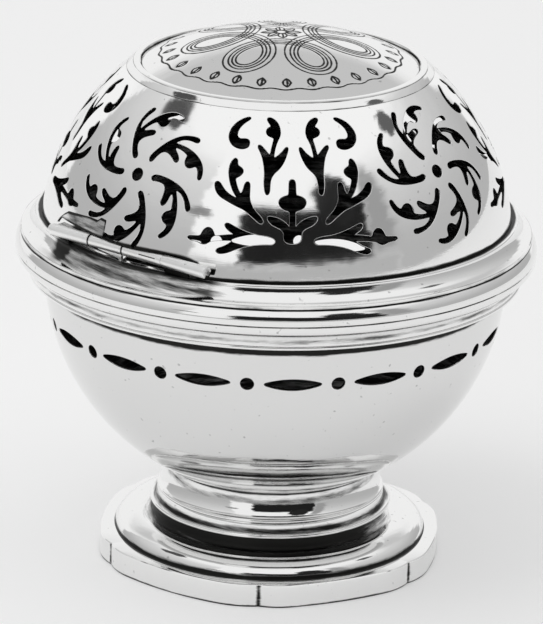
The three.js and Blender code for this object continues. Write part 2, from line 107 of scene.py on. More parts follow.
def mesh_from_grid(name, points, sharp=32.0):
    """A closed surface from an array (rows, columns, 3) of points in millimetres: rows and columns both
    run round and meet again, neighbours make quads, and points that coincide on the axis are merged."""
    rows, columns = points.shape[:2]
    index = np.arange(rows * columns).reshape(rows, columns)
    right = np.roll(index, -1, axis=1)
    quads = np.stack([index, right, np.roll(right, -1, axis=0), np.roll(index, -1, axis=0)], axis=-1)
    mesh = bpy.data.meshes.new(name)
    mesh.from_pydata((points.reshape(-1, 3) * mm).tolist(), [], quads.reshape(-1, 4).tolist())
    work = bmesh.new()
    work.from_mesh(mesh)
    bmesh.ops.remove_doubles(work, verts=work.verts, dist=1e-7)
    bmesh.ops.recalc_face_normals(work, faces=work.faces)
    work.to_mesh(mesh)
    work.free()
    mesh.shade_smooth()
    mesh.set_sharp_from_angle(angle=np.radians(sharp))
    return placed(name, mesh)


def circle_distance(angle, offset, radius, turn):
    """How far from the middle a ray at this angle meets a circle whose centre lies offset away, at
    turn radians: r = offset cos(a - turn) + sqrt(radius^2 - offset^2 sin^2(a - turn))."""
    beside = np.minimum(np.abs(offset * np.sin(angle - turn)), radius)
    return offset * np.cos(angle - turn) + np.sqrt(radius**2 - beside**2)


def unslipped(angle):
    """The band was bent by eye, so that one crease stands a few degrees off its place: the angle minus
    a bell curve of that slip."""
    off = (np.degrees(angle) - slipped_crease - crease_slip + 180) % 360 - 180
    return angle - np.radians(crease_slip) * bell(off, slip_reach)


def lobed_radius(angle, inset):
    """Polar radius of the six-lobed outline, set in by inset: in each lobe the face's flat arc in the
    middle and a rounder shoulder arc to each side, tangent to each other."""
    pitch = 2 * np.pi / lobe_count
    local = (unslipped(angle) - np.radians(plinth_turn) + pitch / 2) % pitch - pitch / 2
    face_centre = lobe_reach - lobe_face_radius
    shoulder = np.radians(lobe_shoulder_angle)
    toward = np.array([np.cos(shoulder), np.sin(shoulder)])
    shoulder_x, shoulder_y = [face_centre, 0] + (lobe_face_radius - lobe_shoulder_radius) * toward
    tangent_x, tangent_y = [face_centre, 0] + lobe_face_radius * toward
    on_face = circle_distance(local, face_centre, lobe_face_radius - inset, 0.0)
    on_shoulder = circle_distance(
        np.abs(local), np.hypot(shoulder_x, shoulder_y), lobe_shoulder_radius - inset,
        np.arctan2(shoulder_y, shoulder_x),
    )
    return np.where(np.abs(local) < np.arctan2(tangent_y, tangent_x), on_face, on_shoulder)


# Profile of the band as (inset from the outer face, height). An inset beyond the deepest one stands for
# the plain circle that the ledge ends in.
ledge_under = plinth_height - plinth_ledge
band_profile = rounded([
    [0, 0], [0, 0.9], [0, plinth_height], [on_inner_circle, plinth_height], [on_inner_circle, ledge_under],
    [plinth_wall, ledge_under], [plinth_wall, 0],
], plinth_edge)
plinth_angles = np.radians(plinth_turn + np.linspace(0, 360, 720, endpoint=False))[:, None]
insets = band_profile[:, 0]
plinth_r = np.where(
    insets > deepest_inset,
    foot_dome_radius - ledge_lap,
    lobed_radius(plinth_angles, np.minimum(insets, deepest_inset)),
)
plinth = mesh_from_grid("plinth_band", about_axis(plinth_r, plinth_angles, band_profile[:, 1]), 16.0)


def added(tree, kind, **values):
    """A new shader node; each value goes to the input of its name, with _ for a space."""
    node = tree.nodes.new("ShaderNode" + kind)
    for name, value in values.items():
        node.inputs[name.replace("_", " ")].default_value = value
    return node


def calc(tree, operation, *values):
    """The result of a math node; each value is a number or another node's output."""
    node = added(tree, "Math")
    node.operation = operation
    for socket, value in zip(node.inputs, values):
        if isinstance(value, bpy.types.NodeSocket):
            tree.links.new(value, socket)
        else:
            socket.default_value = value
    return node.outputs[0]


def soft_step(tree, value, low, high):
    """0 at low, 1 at high, smooth between; low may be the larger."""
    node = added(tree, "MapRange", From_Min=low, From_Max=high)
    node.interpolation_type = "SMOOTHSTEP"
    tree.links.new(value, node.inputs["Value"])
    return node.outputs["Result"]


def noise(tree, vector, scale, detail, roughness, squeeze=1.0):
    """A noise texture read at this vector; a squeeze along Z lays its grain level."""
    if squeeze != 1.0:
        mapping = added(tree, "Mapping", Scale=(1.0, 1.0, squeeze))
        tree.links.new(vector, mapping.inputs["Vector"])
        vector = mapping.outputs["Vector"]
    texture = added(tree, "TexNoise", Scale=scale, Detail=detail, Roughness=roughness)
    tree.links.new(vector, texture.inputs["Vector"])
    return texture


def axes_of(tree, vector):
    """The three numbers of a vector."""
    split = added(tree, "SeparateXYZ")
    tree.links.new(vector, split.inputs["Vector"])
    return split.outputs


# Hand finish of the silver: slow waves left by the hammer, hair-fine polishing scratches, the
# smudges that handling leaves, uneven grime noise that breaks up each piece's dirt and painted shade, and a
# few specks.
wave_depth = 0.18 * mm
tarnish_roughness = 0.4
# Dirt and painted shade darken the silver towards this near black
dirt_and_shade_colour = (0.022, 0.022, 0.021, 1.0)
handwork = bpy.data.node_groups.new("hand_finished_silver", "ShaderNodeTree")
for name, value in (("Wave Size", 90.0), ("Wave Height", 1.0), ("Scratch Height", 0.05), ("Shade And Dirt", 0.0)):
    socket = handwork.interface.new_socket(name, in_out="INPUT", socket_type="NodeSocketFloat")
    socket.default_value = value
for name in ("Height", "Smudge", "Dirt And Shade"):
    handwork.interface.new_socket(name, in_out="OUTPUT", socket_type="NodeSocketFloat")
tree = handwork
inside = tree.nodes.new("NodeGroupInput").outputs
outside = tree.nodes.new("NodeGroupOutput").inputs
here = added(tree, "TexCoord").outputs["Object"]
waves = noise(tree, here, 90.0, 1.0, 0.4)
scratches = noise(tree, here, 420.0, 3.0, 0.5, 9.0)
wave_part = calc(tree, "MULTIPLY", waves.outputs["Fac"], inside["Wave Height"])
scratch_part = calc(tree, "MULTIPLY", scratches.outputs["Fac"], inside["Scratch Height"])
# The grime is drawn out round the box: its noise reads (0.15 x + 1.3 hypot(x, y), 0.15 y, z)
x, y, z = axes_of(tree, here)
squares = [calc(tree, "MULTIPLY", axis, axis) for axis in (x, y)]
outward = calc(tree, "SQRT", calc(tree, "ADD", *squares))
slow_x, slow_y = (calc(tree, "MULTIPLY", axis, 0.15) for axis in (x, y))
drawn_out = added(tree, "CombineXYZ")
for axis, value in zip(drawn_out.inputs, (calc(tree, "MULTIPLY_ADD", outward, 1.3, slow_x), slow_y, z)):
    tree.links.new(value, axis)
grime_noise = noise(tree, drawn_out.outputs["Vector"], 800.0, 4.0, 0.65)
grime = calc(tree, "MULTIPLY_ADD", grime_noise.outputs["Fac"], 1.1, -0.55)
dirt_and_shade_mask = soft_step(tree, calc(tree, "ADD", inside["Shade And Dirt"], grime), 0.28, 0.82)
specks = added(tree, "MapRange", From_Min=0.73, From_Max=0.80, To_Max=0.35)
for value, socket in (
    (inside["Wave Size"], waves.inputs["Scale"]),
    (noise(tree, here, 900.0, 1.0, 0.5).outputs["Fac"], specks.inputs["Value"]),
    (calc(tree, "ADD", wave_part, scratch_part), outside["Height"]),
    (noise(tree, here, 60.0, 6.0, 0.65).outputs["Fac"], outside["Smudge"]),
    (calc(tree, "MAXIMUM", dirt_and_shade_mask, specks.outputs["Result"]), outside["Dirt And Shade"]),
):
    tree.links.new(value, socket)


def silver_finish(name, wave_size, wave_height, scratch_height, smooth, worn, tone):
    """Polished silver: a metal of this tone whose roughness runs from smooth to worn with the smudges,
    darkened by the piece's own attribute of dirt and painted shade, with the hand finish as its bump."""
    material = bpy.data.materials.new(name)
    material.use_nodes = True
    tree = material.node_tree
    shader = tree.nodes["Principled BSDF"].inputs
    shader["Metallic"].default_value = 1.0
    finish = added(tree, "Group")
    finish.node_tree = handwork
    for socket, value in zip(finish.inputs, (wave_size, wave_height, scratch_height)):
        socket.default_value = value
    dirt_and_shade = added(tree, "Attribute")
    dirt_and_shade.attribute_name = "dirt_and_shade"
    bump = added(tree, "Bump", Strength=1.0, Distance=wave_depth)
    roughness = added(tree, "MapRange", From_Min=0.42, From_Max=0.62, To_Min=smooth, To_Max=worn)
    polish = roughness.outputs["Result"]
    dulled = calc(tree, "MULTIPLY_ADD", finish.outputs["Dirt And Shade"], tarnish_roughness, polish)
    colour = added(tree, "Mix")
    colour.data_type = "RGBA"
    colour.inputs["A"].default_value = (tone, tone, tone * 0.995, 1.0)
    colour.inputs["B"].default_value = dirt_and_shade_colour
    for value, socket in (
        (dirt_and_shade.outputs["Fac"], finish.inputs["Shade And Dirt"]),
        (finish.outputs["Height"], bump.inputs["Height"]),
        (bump.outputs["Normal"], shader["Normal"]),
        (finish.outputs["Smudge"], roughness.inputs["Value"]),
        (dulled, shader["Roughness"]),
        (finish.outputs["Dirt And Shade"], colour.inputs["Factor"]),
        (colour.outputs["Result"], shader["Base Color"]),
    ):
        tree.links.new(value, socket)
    return material


def places(piece):
    """The piece's vertices in millimetres, as an array of rows."""
    flat = np.empty(len(piece.data.vertices) * 3)
    piece.data.vertices.foreach_get("co", flat)
    return flat.reshape(-1, 3) / mm


def near_rings(piece, spots):
    """Dirt and painted shade that follow lines round the box: the largest of amount exp(-(d / width)^2) over
    the spots ((r, z), width, amount), where d is the distance from (r, z), in millimetres."""
    x, y, z = places(piece).T
    r = np.hypot(x, y)
    return np.max([
        amount * bell(np.hypot(r - spot_r, z - spot_z), width) for (spot_r, spot_z), width, amount in spots
    ], axis=0)


def finish_piece(piece, silver, dirt_and_shade, node, body):
    """Gives a piece its silver and its dirt and painted shade, a number or one for each vertex, where 0 is
    bright and from 1 up is black. The piece stands for a node and rides on a body."""
    piece.data.materials.append(silver)
    darkening = piece.data.attributes.new("dirt_and_shade", "FLOAT", "POINT")
    darkening.data.foreach_set("value", np.full(len(piece.data.vertices), dirt_and_shade))
    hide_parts(node)
    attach(piece, body)


polished = silver_finish("polished_silver", wave_size=70.0, wave_height=1.0, scratch_height=0.012,
                         smooth=0.035, worn=0.09, tone=0.88)
x, y, z = places(plinth).T
lobe_pitch = 360 / lobe_count
from_lobe = np.degrees(unslipped(np.arctan2(y, x))) - plinth_turn
from_crease = np.radians(np.abs(from_lobe % lobe_pitch - lobe_pitch / 2)) * lobe_reach
# Painted shade in the creases between the lobes and a painted contact shadow along the bottom edge, with a
# dark joint line where the foot dome sits on the ledge
painted_crease_shade = 0.8 * bell(from_crease, 0.55) * (z < plinth_height - 0.1)
painted_contact_shadow = 1.2 * bell(z, 0.42)
joint_line = near_rings(plinth, [((foot_dome_radius, plinth_height), 0.5, 1.0)])
plinth_dirt_and_shade = np.max([painted_crease_shade, painted_contact_shadow, joint_line], axis=0)
finish_piece(plinth, polished, plinth_dirt_and_shade, "foot_plinth", "base")


# The foot dome: a low quarter round spun from sheet, ending in a short upright neck that stands in
# the stem's shadow. It is soldered to the plinth's ledge.
ovolo_rise = 2.9
ovolo_top_radius = 23.4
foot_neck_radius = 21.7
foot_neck_top = 9.4
foot_wall = 0.9
# The side where the painted shade on the neck is darkest
shaded_side = 118.0


def turned(name, parts, turns=288):
    """A closed profile, in parts of (r, z) points, carried round the Z axis: x = r cos a, y = r sin a."""
    r, z = np.concatenate(parts).T
    return mesh_from_grid(name, about_axis(r, once_round(turns)[:, None], z))


def bend(a, corner, b, count):
    """A quadratic curve (1-t)^2 a + 2t(1-t) corner + t^2 b."""
    t = np.linspace(0, 1, count)[:, None]
    return (1 - t) ** 2 * np.array(a) + 2 * t * (1 - t) * np.array(corner) + t**2 * np.array(b)


foot_inner = foot_neck_radius - foot_wall
shoulder_z = plinth_height + ovolo_rise
foot_edge = np.array([foot_dome_radius, plinth_height])
neck_foot = np.array([foot_neck_radius, shoulder_z])
neck_top = np.array([foot_neck_radius, foot_neck_top])
foot_dome = turned("foot_dome_shell", [
    bend(foot_edge, [foot_dome_radius - 0.6, shoulder_z + 0.1], [ovolo_top_radius, shoulder_z], 28),
    arc(*(neck_foot + 1.0), 1.0, 1.0, 268, 180, 10),
    [neck_top, [foot_inner, foot_neck_top], [foot_inner, shoulder_z]],
    arc(ovolo_top_radius, plinth_height, foot_dome_radius - ovolo_top_radius - foot_wall,
        ovolo_rise - foot_wall, 88, 0, 12),
])
# The neck and the corner at its foot are painted dark as the stem's shadow, more on one side than the other;
# the edge on the ledge gets a dark joint line
neck_painted_shade = near_rings(foot_dome, [(neck_foot + (0.5, 0.8), 1.5, 1.2), (neck_top, 1.2, 1.2)])
x, y, z = places(foot_dome).T
round_foot = np.arctan2(y, x)
shade_share = 0.52 + 0.48 * np.cos(round_foot - np.radians(shaded_side)) + 0.06 * np.sin(3 * round_foot)
foot_edge_dirt = near_rings(foot_dome, [(foot_edge, 0.8, 1.15)])
finish_piece(foot_dome, polished, np.maximum(neck_painted_shade * shade_share, foot_edge_dirt), "foot_dome", "base")


# The stem: a spool that spreads from the bowl down to a small ledge and a thin projecting edge.
# Turned and polished bright, soldered between foot and bowl.
stem_edge_radius = 22.3
stem_edge_top = 10.3
stem_ledge_radius = 20.5
stem_ledge_top = 11.4
stem_bead_radius = 0.45
stem_bead_z = stem_ledge_top + 0.9
stem_neck_radius = 19.0
stem_top = 17.0

edge = np.array([stem_edge_radius, stem_edge_top])
bead = np.array([stem_ledge_radius, stem_bead_z])
spool_top = np.array([stem_neck_radius, stem_top])
stem = turned("foot_stem_spool", [
    [[foot_inner, foot_neck_top], [stem_edge_radius - 0.5, foot_neck_top]],
    arc(stem_edge_radius - 0.36, (foot_neck_top + stem_edge_top) / 2, 0.35, 0.42, -80, 80, 10),
    bend(edge + (-0.6, 0), [stem_ledge_radius + 0.4, stem_edge_top + 0.05],
         [stem_ledge_radius + 0.45, stem_ledge_top], 10),
    arc(*bead, stem_bead_radius, stem_bead_radius, -50, 65, 12),
    bend(bead + (-0.1, 0.6), [stem_neck_radius + 0.18, stem_bead_z + 2.0], spool_top, 18),
    [spool_top + (-foot_wall, 0), [stem_neck_radius - foot_wall, stem_ledge_top + 1.5]],
])
# A dark joint line under the bowl, painted shade from the bowl over the spool's upper part, a darker ring
# where the spool rises from the edge, and painted shade under the projecting edge
finish_piece(stem, polished, near_rings(stem, [
    (spool_top, 0.35, 0.9),
    (spool_top + (0.1, -1.3), 1.0, 0.55),
    ((stem_ledge_radius + 0.75, stem_edge_top + 0.3), 0.8, 0.74),
    ((stem_edge_radius - 0.8, foot_neck_top), 0.6, 1.0),
]), "foot_stem", "base")


# The bowl: a globe raised from sheet and flattened underneath, sawn through with a band of lozenges
# and dots whose edges were filed by hand. The openings' walls below their filed edge and the whole inside are
# painted dark as shade.
shell_wall = 0.8
bowl_radius = 42.3
bowl_centre = stem_top + np.sqrt(bowl_radius**2 - stem_neck_radius**2)
girdle_bottom = bowl_centre - 1.2
band_height = bowl_centre - 8.8
band_repeats = 16
band_turn = 89.2
dot_radius = 1.22
lozenge_reach = 5.2
lozenge_rise = 1.15
lozenge_tip = 0.18
file_edge = 0.1
bright_wall = 0.3
# How dark the inside is painted, as shade
painted_inside_shade = 0.74
# The side where the painted shadow under the girdle is darkest
shaded_girdle_side = 155.0


def unit(rows):
    """Each row divided by its length."""
    return rows / np.maximum(np.linalg.norm(rows, axis=1, keepdims=True), 1e-9)


def turns_left(loop):
    """Whether a closed outline runs to the left, from its signed area: half the sum of x y' - x' y."""
    ahead = np.roll(loop, -1, axis=0)
    return np.sum(loop[:, 0] * ahead[:, 1] - ahead[:, 0] * loop[:, 1]) > 0


def sawn_outline(start, steps, spacing=0.22, soften=3):
    """A closed outline from a start and steps that are (end x, end y) for a line or (control x, control
    y, end x, end y) for a quadratic curve, walked at even spacing, and softened by averaging each point
    with its neighbours, as a saw blade rounds a corner."""
    last = np.array(start, float)
    walk = [last[None]]
    for step in steps:
        end = np.array(step[-2:])
        walk.append(bend(last, step[:2] if len(step) == 4 else (last + end) / 2, end, 40)[1:])
        last = end
    path = np.concatenate(walk)
    length = np.concatenate([[0], np.cumsum(np.linalg.norm(np.diff(path, axis=0), axis=1))])
    even = np.linspace(0, length[-1], int(round(length[-1] / spacing)), endpoint=False)
    points = np.stack([np.interp(even, length, path[:, 0]), np.interp(even, length, path[:, 1])], axis=1)
    for _ in range(soften):
        points = 0.5 * points + 0.25 * np.roll(points, 1, axis=0) + 0.25 * np.roll(points, -1, axis=0)
    return points if turns_left(points) else points[::-1]


def round_hole(radius, count=26):
    """A circle (radius cos t, radius sin t)."""
    return arc(0, 0, radius, radius, 0, 360 * (1 - 1 / count), count)


def on_sphere(points, azimuth, elevation, radius):
    """Directions for points (u, v) in millimetres along a sphere about a motif's middle: the point lies
    at angle hypot(u, v) / radius from the middle, towards u to the right and v upward."""
    a, e = np.radians([azimuth, elevation])
    middle = about_axis(np.cos(e), a, np.sin(e))
    right = np.array([-np.sin(a), np.cos(a), 0.0])
    up = np.cross(middle, right)
    distance = np.maximum(np.hypot(points[:, 0], points[:, 1]), 1e-9)[:, None]
    heading = (points[:, :1] * right + points[:, 1:] * up) / distance
    return middle * np.cos(distance / radius) + heading * np.sin(distance / radius)


def grown(points, amount):
    """The outline moved outward by amount along the normal of the line through both neighbours."""
    along = unit(np.roll(points, -1, axis=0) - np.roll(points, 1, axis=0))
    return points + amount * np.stack([along[:, 1], -along[:, 0]], axis=1)


def pierced_shell(name, centre, radius, rims, openings, pole, spacing, edge_rings):
    """A spherical wall with openings. The sphere is unrolled from its pole, so that the distance from
    the middle is the angle from the pole. There the rims, the openings and rings of points between them
    are joined into triangles. Each point is then set on the outer and the inner sphere. Every opening
    gets a filed edge, a wall along the radii and a filed edge inside. Normals are the sphere's own.
    The edge rings are rows of points that follow the outer rim at these distances."""

    def unrolled(directions):
        polar = np.arccos(np.clip(directions[:, 2] * pole, -1, 1))[:, None]
        return unit(directions[:, :2]) * polar

    def rolled(flat):
        polar = np.linalg.norm(flat, axis=1, keepdims=True)
        return np.concatenate([unit(flat) * np.sin(polar), pole * np.cos(polar)], axis=1)

    loops = [unrolled(rim) for rim in rims] + [unrolled(wide) for wide, _ in openings]
    outer_reach, inner_reach = (np.linalg.norm(loop, axis=1) for loop in loops[:2])
    ring_count = int((outer_reach.max() - inner_reach.min()) * radius / spacing)
    around = once_round(len(rims[0]) // 3)
    reach = np.linspace(inner_reach.min(), outer_reach.max(), ring_count + 2)[1:-1]
    shift = np.arange(ring_count)[:, None] % 2 * (around[1] / 2)
    filler = about_axis(reach[:, None], around + shift, 0).reshape(-1, 3)[:, :2]
    rings = []
    for distance in edge_rings:
        ring = loops[0] * (1 - distance / radius / outer_reach[:, None])
        gaps = [np.linalg.norm(ring[:, None] - loop[None], axis=2).min(axis=1) for loop in loops[1:]]
        rings.append(ring[np.min(gaps, axis=0) * radius > 0.2])
    drawn = np.concatenate(loops + rings)
    clear = np.full(len(filler), np.inf)
    for part in np.array_split(drawn, 1 + len(drawn) // 400):
        gaps = np.linalg.norm(filler[:, None] - part[None], axis=2)
        clear = np.minimum(clear, gaps.min(axis=1))
    angle = np.arctan2(filler[:, 1], filler[:, 0]) % (2 * np.pi)
    rim_angle = np.arctan2(loops[0][:, 1], loops[0][:, 0]) % (2 * np.pi)
    order = np.argsort(rim_angle)
    limit = np.interp(angle, rim_angle[order], outer_reach[order], period=2 * np.pi)
    keep = (clear * radius > 0.45 * spacing) & (np.linalg.norm(filler, axis=1) < limit)
    flat = np.concatenate([drawn, filler[keep]])
    starts = np.cumsum([0] + [len(loop) for loop in loops])
    faces = []
    for loop, first, last in zip(loops, starts[:-1], starts[1:]):
        faces.append(list(range(first, last))[:: 1 if turns_left(loop) else -1])
    result = delaunay_2d_cdt([Vector(p) for p in flat * 100], [], faces, 0, 1e-6)
    new_flat = np.array([p[:] for p in result[0]]) / 100
    triangles = np.array([f for f, owner in zip(result[2], result[5]) if owner == [0]])
    source = np.full(len(flat), -1)
    for new, old in enumerate(result[3]):
        source[old] = new
    surface = rolled(new_flat)
    a, b, c = (surface[triangles[:, k]] for k in range(3))
    outward = np.einsum("ij,ij->i", np.cross(b - a, c - a), a + b + c) > 0
    triangles = np.where(outward[:, None], triangles, triangles[:, ::-1])
    middle = np.array([0, 0, centre])
    inner = radius - shell_wall
    positions = [middle + surface * radius, middle + surface * inner]
    normals = [surface, -surface]
    polygons = [triangles, triangles[:, ::-1] + len(surface)]
    count = 2 * len(surface)

    def strip(first, second):
        return np.stack([first, np.roll(first, -1), np.roll(second, -1), second], axis=1)

    quads = []
    for number, (wide, narrow) in enumerate(openings):
        on_surface = source[np.arange(starts[number + 2], starts[number + 3])]
        into_hole = narrow - wide
        into_hole = unit(into_hole - np.sum(into_hole * narrow, axis=1, keepdims=True) * narrow)
        size = len(narrow)
        top = count + np.arange(size)
        depths = [radius - file_edge, radius - bright_wall, inner + file_edge]
        positions += [middle + narrow * depth for depth in depths]
        normals += [into_hole] * 3
        count += 3 * size
        quads += [strip(on_surface, top), strip(top, top + size), strip(top + size, top + 2 * size)]
        quads.append(strip(top + 2 * size, on_surface + len(surface)))
    for number, rim in enumerate(rims):
        on_surface = source[np.arange(starts[number], starts[number + 1])]
        height = surface[on_surface, 2] * radius
        reach = np.sqrt(inner**2 - height**2)
        level = np.concatenate([unit(rim[:, :2]) * reach[:, None], height[:, None]], axis=1)
        positions[1][on_surface] = middle + level
        size = len(rim)
        facing = np.array([0, 0, -1.0 if (number == 0) == (pole > 0) else 1.0])
        positions += [positions[0][on_surface], positions[1][on_surface]]
        normals += [np.tile(facing, (2 * size, 1))]
        first = count + np.arange(size)
        count += 2 * size
        quads.append(strip(first, first + size))
    positions = np.concatenate(positions)
    normals = np.concatenate(normals)
    quads = np.concatenate(quads)
    p, q, r = (positions[quads[:, k]] for k in range(3))
    wrong = np.einsum("ij,ij->i", np.cross(q - p, r - p), normals[quads].sum(axis=1)) < 0
    quads = np.where(wrong[:, None], quads[:, ::-1], quads)
    mesh = bpy.data.meshes.new(name)
    mesh.from_pydata((positions * mm).tolist(), [], np.concatenate(polygons).tolist() + quads.tolist())
    mesh.shade_smooth()
    mesh.normals_split_custom_set_from_vertices(normals.tolist())
    return placed(name, mesh)


def level_rim(centre, radius, height, count):
    """Directions from the sphere's centre to a level circle on it, at this height."""
    rise = (height - centre) / radius
    return about_axis(np.sqrt(1 - rise**2), once_round(count), rise)


def sawn_openings(outlines, azimuth, elevation, radius):
    """For each outline, its directions where it meets the surface, grown by the filed edge, and where
    the wall begins."""
    return [
        (on_sphere(grown(outline, file_edge), azimuth, elevation, radius),
         on_sphere(outline, azimuth, elevation, radius))
        for outline in outlines
    ]


def shell_dirt_and_shade(piece, centre, radius, spots, shade_share=1.0):
    """Dirt and painted shade in rings on the outside, times a share. The openings' walls are painted black
    as shade below their bright edge, and the inside is painted dark as shade."""
    depth = radius - np.linalg.norm(places(piece) - [0, 0, centre], axis=1)
    outer_dirt_and_shade = np.maximum(near_rings(piece, spots) * shade_share, depth > bright_wall - 0.02)
    return np.where(depth > shell_wall - 0.02, painted_inside_shade, outer_dirt_and_shade)


lozenge = sawn_outline((-lozenge_reach, -lozenge_tip), [
    (0, lozenge_tip - 2 * lozenge_rise, lozenge_reach, -lozenge_tip),
    (lozenge_reach, lozenge_tip),
    (0, 2 * lozenge_rise - lozenge_tip, -lozenge_reach, lozenge_tip),
    (-lozenge_reach, -lozenge_tip),
])
dot = round_hole(dot_radius)
band_elevation = np.degrees(np.arcsin((band_height - bowl_centre) / bowl_radius))
band_pitch = 360 / band_repeats
band_openings = []
for repeat in range(band_repeats):
    azimuth = band_turn + band_pitch * repeat
    band_openings += sawn_openings([lozenge], azimuth, band_elevation, bowl_radius)
    band_openings += sawn_openings([dot], azimuth + band_pitch / 2, band_elevation, bowl_radius)
bowl_rims = [
    level_rim(bowl_centre, bowl_radius, girdle_bottom + 0.4, 480),
    level_rim(bowl_centre, bowl_radius, stem_top + 0.02, 480),
]
bowl = pierced_shell("bowl_globe", bowl_centre, bowl_radius, bowl_rims, band_openings, -1, 1.9,
                     [1.2, 1.5, 1.8, 2.1, 2.4, 2.8])
# The same raised silver as the dome's, given a darker tone: painted shade on the bowl
bowl_silver_shaded = silver_finish("raised_bowl_silver_shaded", wave_size=45.0, wave_height=1.6, scratch_height=0.015,
                            smooth=0.04, worn=0.10, tone=0.78)
# Outside, the bowl gets a dark joint line at the stem, painted shade on its underside round the stem, and a
# painted shadow in a band under the girdle, darker towards one side
x, y, z = places(bowl).T
girdle_shade_share = 0.74 + 0.32 * np.cos(np.arctan2(y, x) - np.radians(shaded_girdle_side))
finish_piece(bowl, bowl_silver_shaded, shell_dirt_and_shade(bowl, bowl_centre, bowl_radius, [
    (spool_top, 0.6, 1.0),
    (spool_top + (1.8, 1.0), 1.7, 0.56),
    ((bowl_radius, girdle_bottom - 1.2), 0.78, 1.2),
], np.where(z > girdle_bottom - 4, girdle_shade_share, 1.0)), "bowl", "base")
floor_radius = np.sqrt(bowl_radius**2 - (stem_top - bowl_centre) ** 2)
bowl_floor = turned("bowl_floor_disc", [[
    [0, stem_top + 0.03], [floor_radius - 0.1, stem_top + 0.03],
    [floor_radius - 0.5, stem_top + shell_wall], [0, stem_top + shell_wall],
]])
# The floor inside is painted dark as shade
finish_piece(bowl_floor, bowl_silver_shaded, painted_inside_shade, "bowl", "base")


# The girdle: two drawn mouldings soldered round the mouth of the bowl. The fine seam between them is
# the box's widest line; the upper one ends in the flat lip that the lid closes on.
girdle_inner = bowl_radius - 1.0
girdle_foot_radius = bowl_radius + 2.7
girdle_seam = girdle_bottom + 5.1
girdle_radius = bowl_radius + 5.19
girdle_fillet = girdle_seam - 1.7
bead_top = girdle_seam + 2.8
lip_top = girdle_seam + 6.5
lip_radius = bowl_radius + 1.6
barrel_half_length = 18.3

girdle_foot = np.array([girdle_foot_radius, girdle_bottom])
fillet = np.array([girdle_radius, girdle_fillet])
seam = np.array([girdle_radius, girdle_seam])
inner_seam = np.array([girdle_inner, girdle_seam])
bead = np.array([girdle_radius, bead_top])
lip = np.array([lip_radius, lip_top])
girdle_lower = turned("girdle_lower_drawn_moulding", [
    [[girdle_inner, girdle_bottom]],
    arc(*(girdle_foot + (-0.35, 0.4)), 0.4, 0.4, -90, 60, 8),
    bend(girdle_foot + (-0.1, 0.85), girdle_foot + (0, 2.2), fillet + (-1.4, -0.3), 14),
    [fillet + (-1.25, -0.1), fillet + (-1.0, 0)],
    bend(fillet + (-0.75, 0.02), fillet + (-0.05, 0.3), seam + (0, -0.14), 12),
    [seam + (-0.2, -0.04), inner_seam + (0, -0.04), inner_seam + (0, -1.3)],
    [[girdle_foot_radius - 1.3, girdle_seam - 1.3], [girdle_inner, girdle_bottom + 1.3]],
], turns=480)
girdle_upper = turned("girdle_upper_drawn_moulding", [
    [inner_seam + (0, 0.04), seam + (-0.2, 0.04), seam + (0, 0.14)],
    bend(seam + (0, 0.9), seam + (-0.05, 1.75), bead + (-0.8, -0.15), 16),
    [bead + (-1.0, 0), bead + (-1.05, 0.12), bead + (-0.85, 0.28), bead + (-0.87, 0.7)],
    bend(bead + (-1.0, 0.78), [lip_radius + 0.7, bead_top + 1.1], lip + (0, -0.5), 18),
    bend(lip + (0, -0.35), lip, lip + (-0.35, 0), 6),
    [lip + (-0.7, 0), lip + (-1.1, 0), lip + (-1.7, 0), [girdle_inner, lip_top]],
    [[girdle_inner, lip_top - 1.3], lip + (-1.3, -1.6), seam + (-2.1, 1.3), inner_seam + (0, 1.3)],
], turns=480)
seam_line = (seam + (-0.1, 0), 0.2, 0.62)
# The lower moulding: the dark seam line, painted shade under the toe and under the fillet, and a darker band
# in the cove
lower_dirt_and_shade = near_rings(girdle_lower, [
    seam_line,
    (girdle_foot + (-1.5, 0), 1.2, 1.0),
    (fillet + (-1.2, -0.15), 0.5, 0.95),
    (girdle_foot + (0.1, 1.7), 0.75, 0.6),
])
# The upper moulding: the dark seam line, painted shade in the groove at the bead's top with a thin dark line
# above it, and painted shade on the lip where the dome meets it
upper_dirt_and_shade = near_rings(girdle_upper, [
    seam_line,
    (bead + (-1.05, 0.1), 0.3, 1.2),
    (bead + (-0.95, 0.75), 0.12, 0.6),
    (lip + (-1.1, 0), 0.75, 1.1),
])
# Under the hinge the lip and the upper half of the hollow are painted dark as the barrel's shade,
# with a darker painted shadow below one end of the barrel
x, y, z = places(girdle_upper).T
under_hinge = np.clip((barrel_half_length + 3 - np.abs(x + 2)) / 5, 0, 1) * (y > 0)
shelf_painted_shade = near_rings(girdle_upper, [(lip + (0.5, -1.9), 2.3, 0.62), (lip, 1.2, 0.85)])
barrel_end_shadow_middle = [15.0, 41.4, lip_top - 1.0]
barrel_end_shadow = 1.1 * bell(np.linalg.norm(places(girdle_upper) - barrel_end_shadow_middle, axis=1), 3.4)
upper_dirt_and_shade = np.max([upper_dirt_and_shade, shelf_painted_shade * under_hinge, barrel_end_shadow], axis=0)
finish_piece(girdle_lower, polished, lower_dirt_and_shade, "girdle_lower_moulding", "base")
finish_piece(girdle_upper, polished, upper_dirt_and_shade, "girdle_upper_moulding", "base")


# The bezel: a plain ring of sheet inside the mouth that centres the closed lid. It is cut down at the
# back, where the lid's wall swings past it.
bezel_wall = 0.7
bezel_bottom = lip_top - 10.2
bezel_rise = 1.3
bezel_edge = 0.25
solder_gap = 0.3

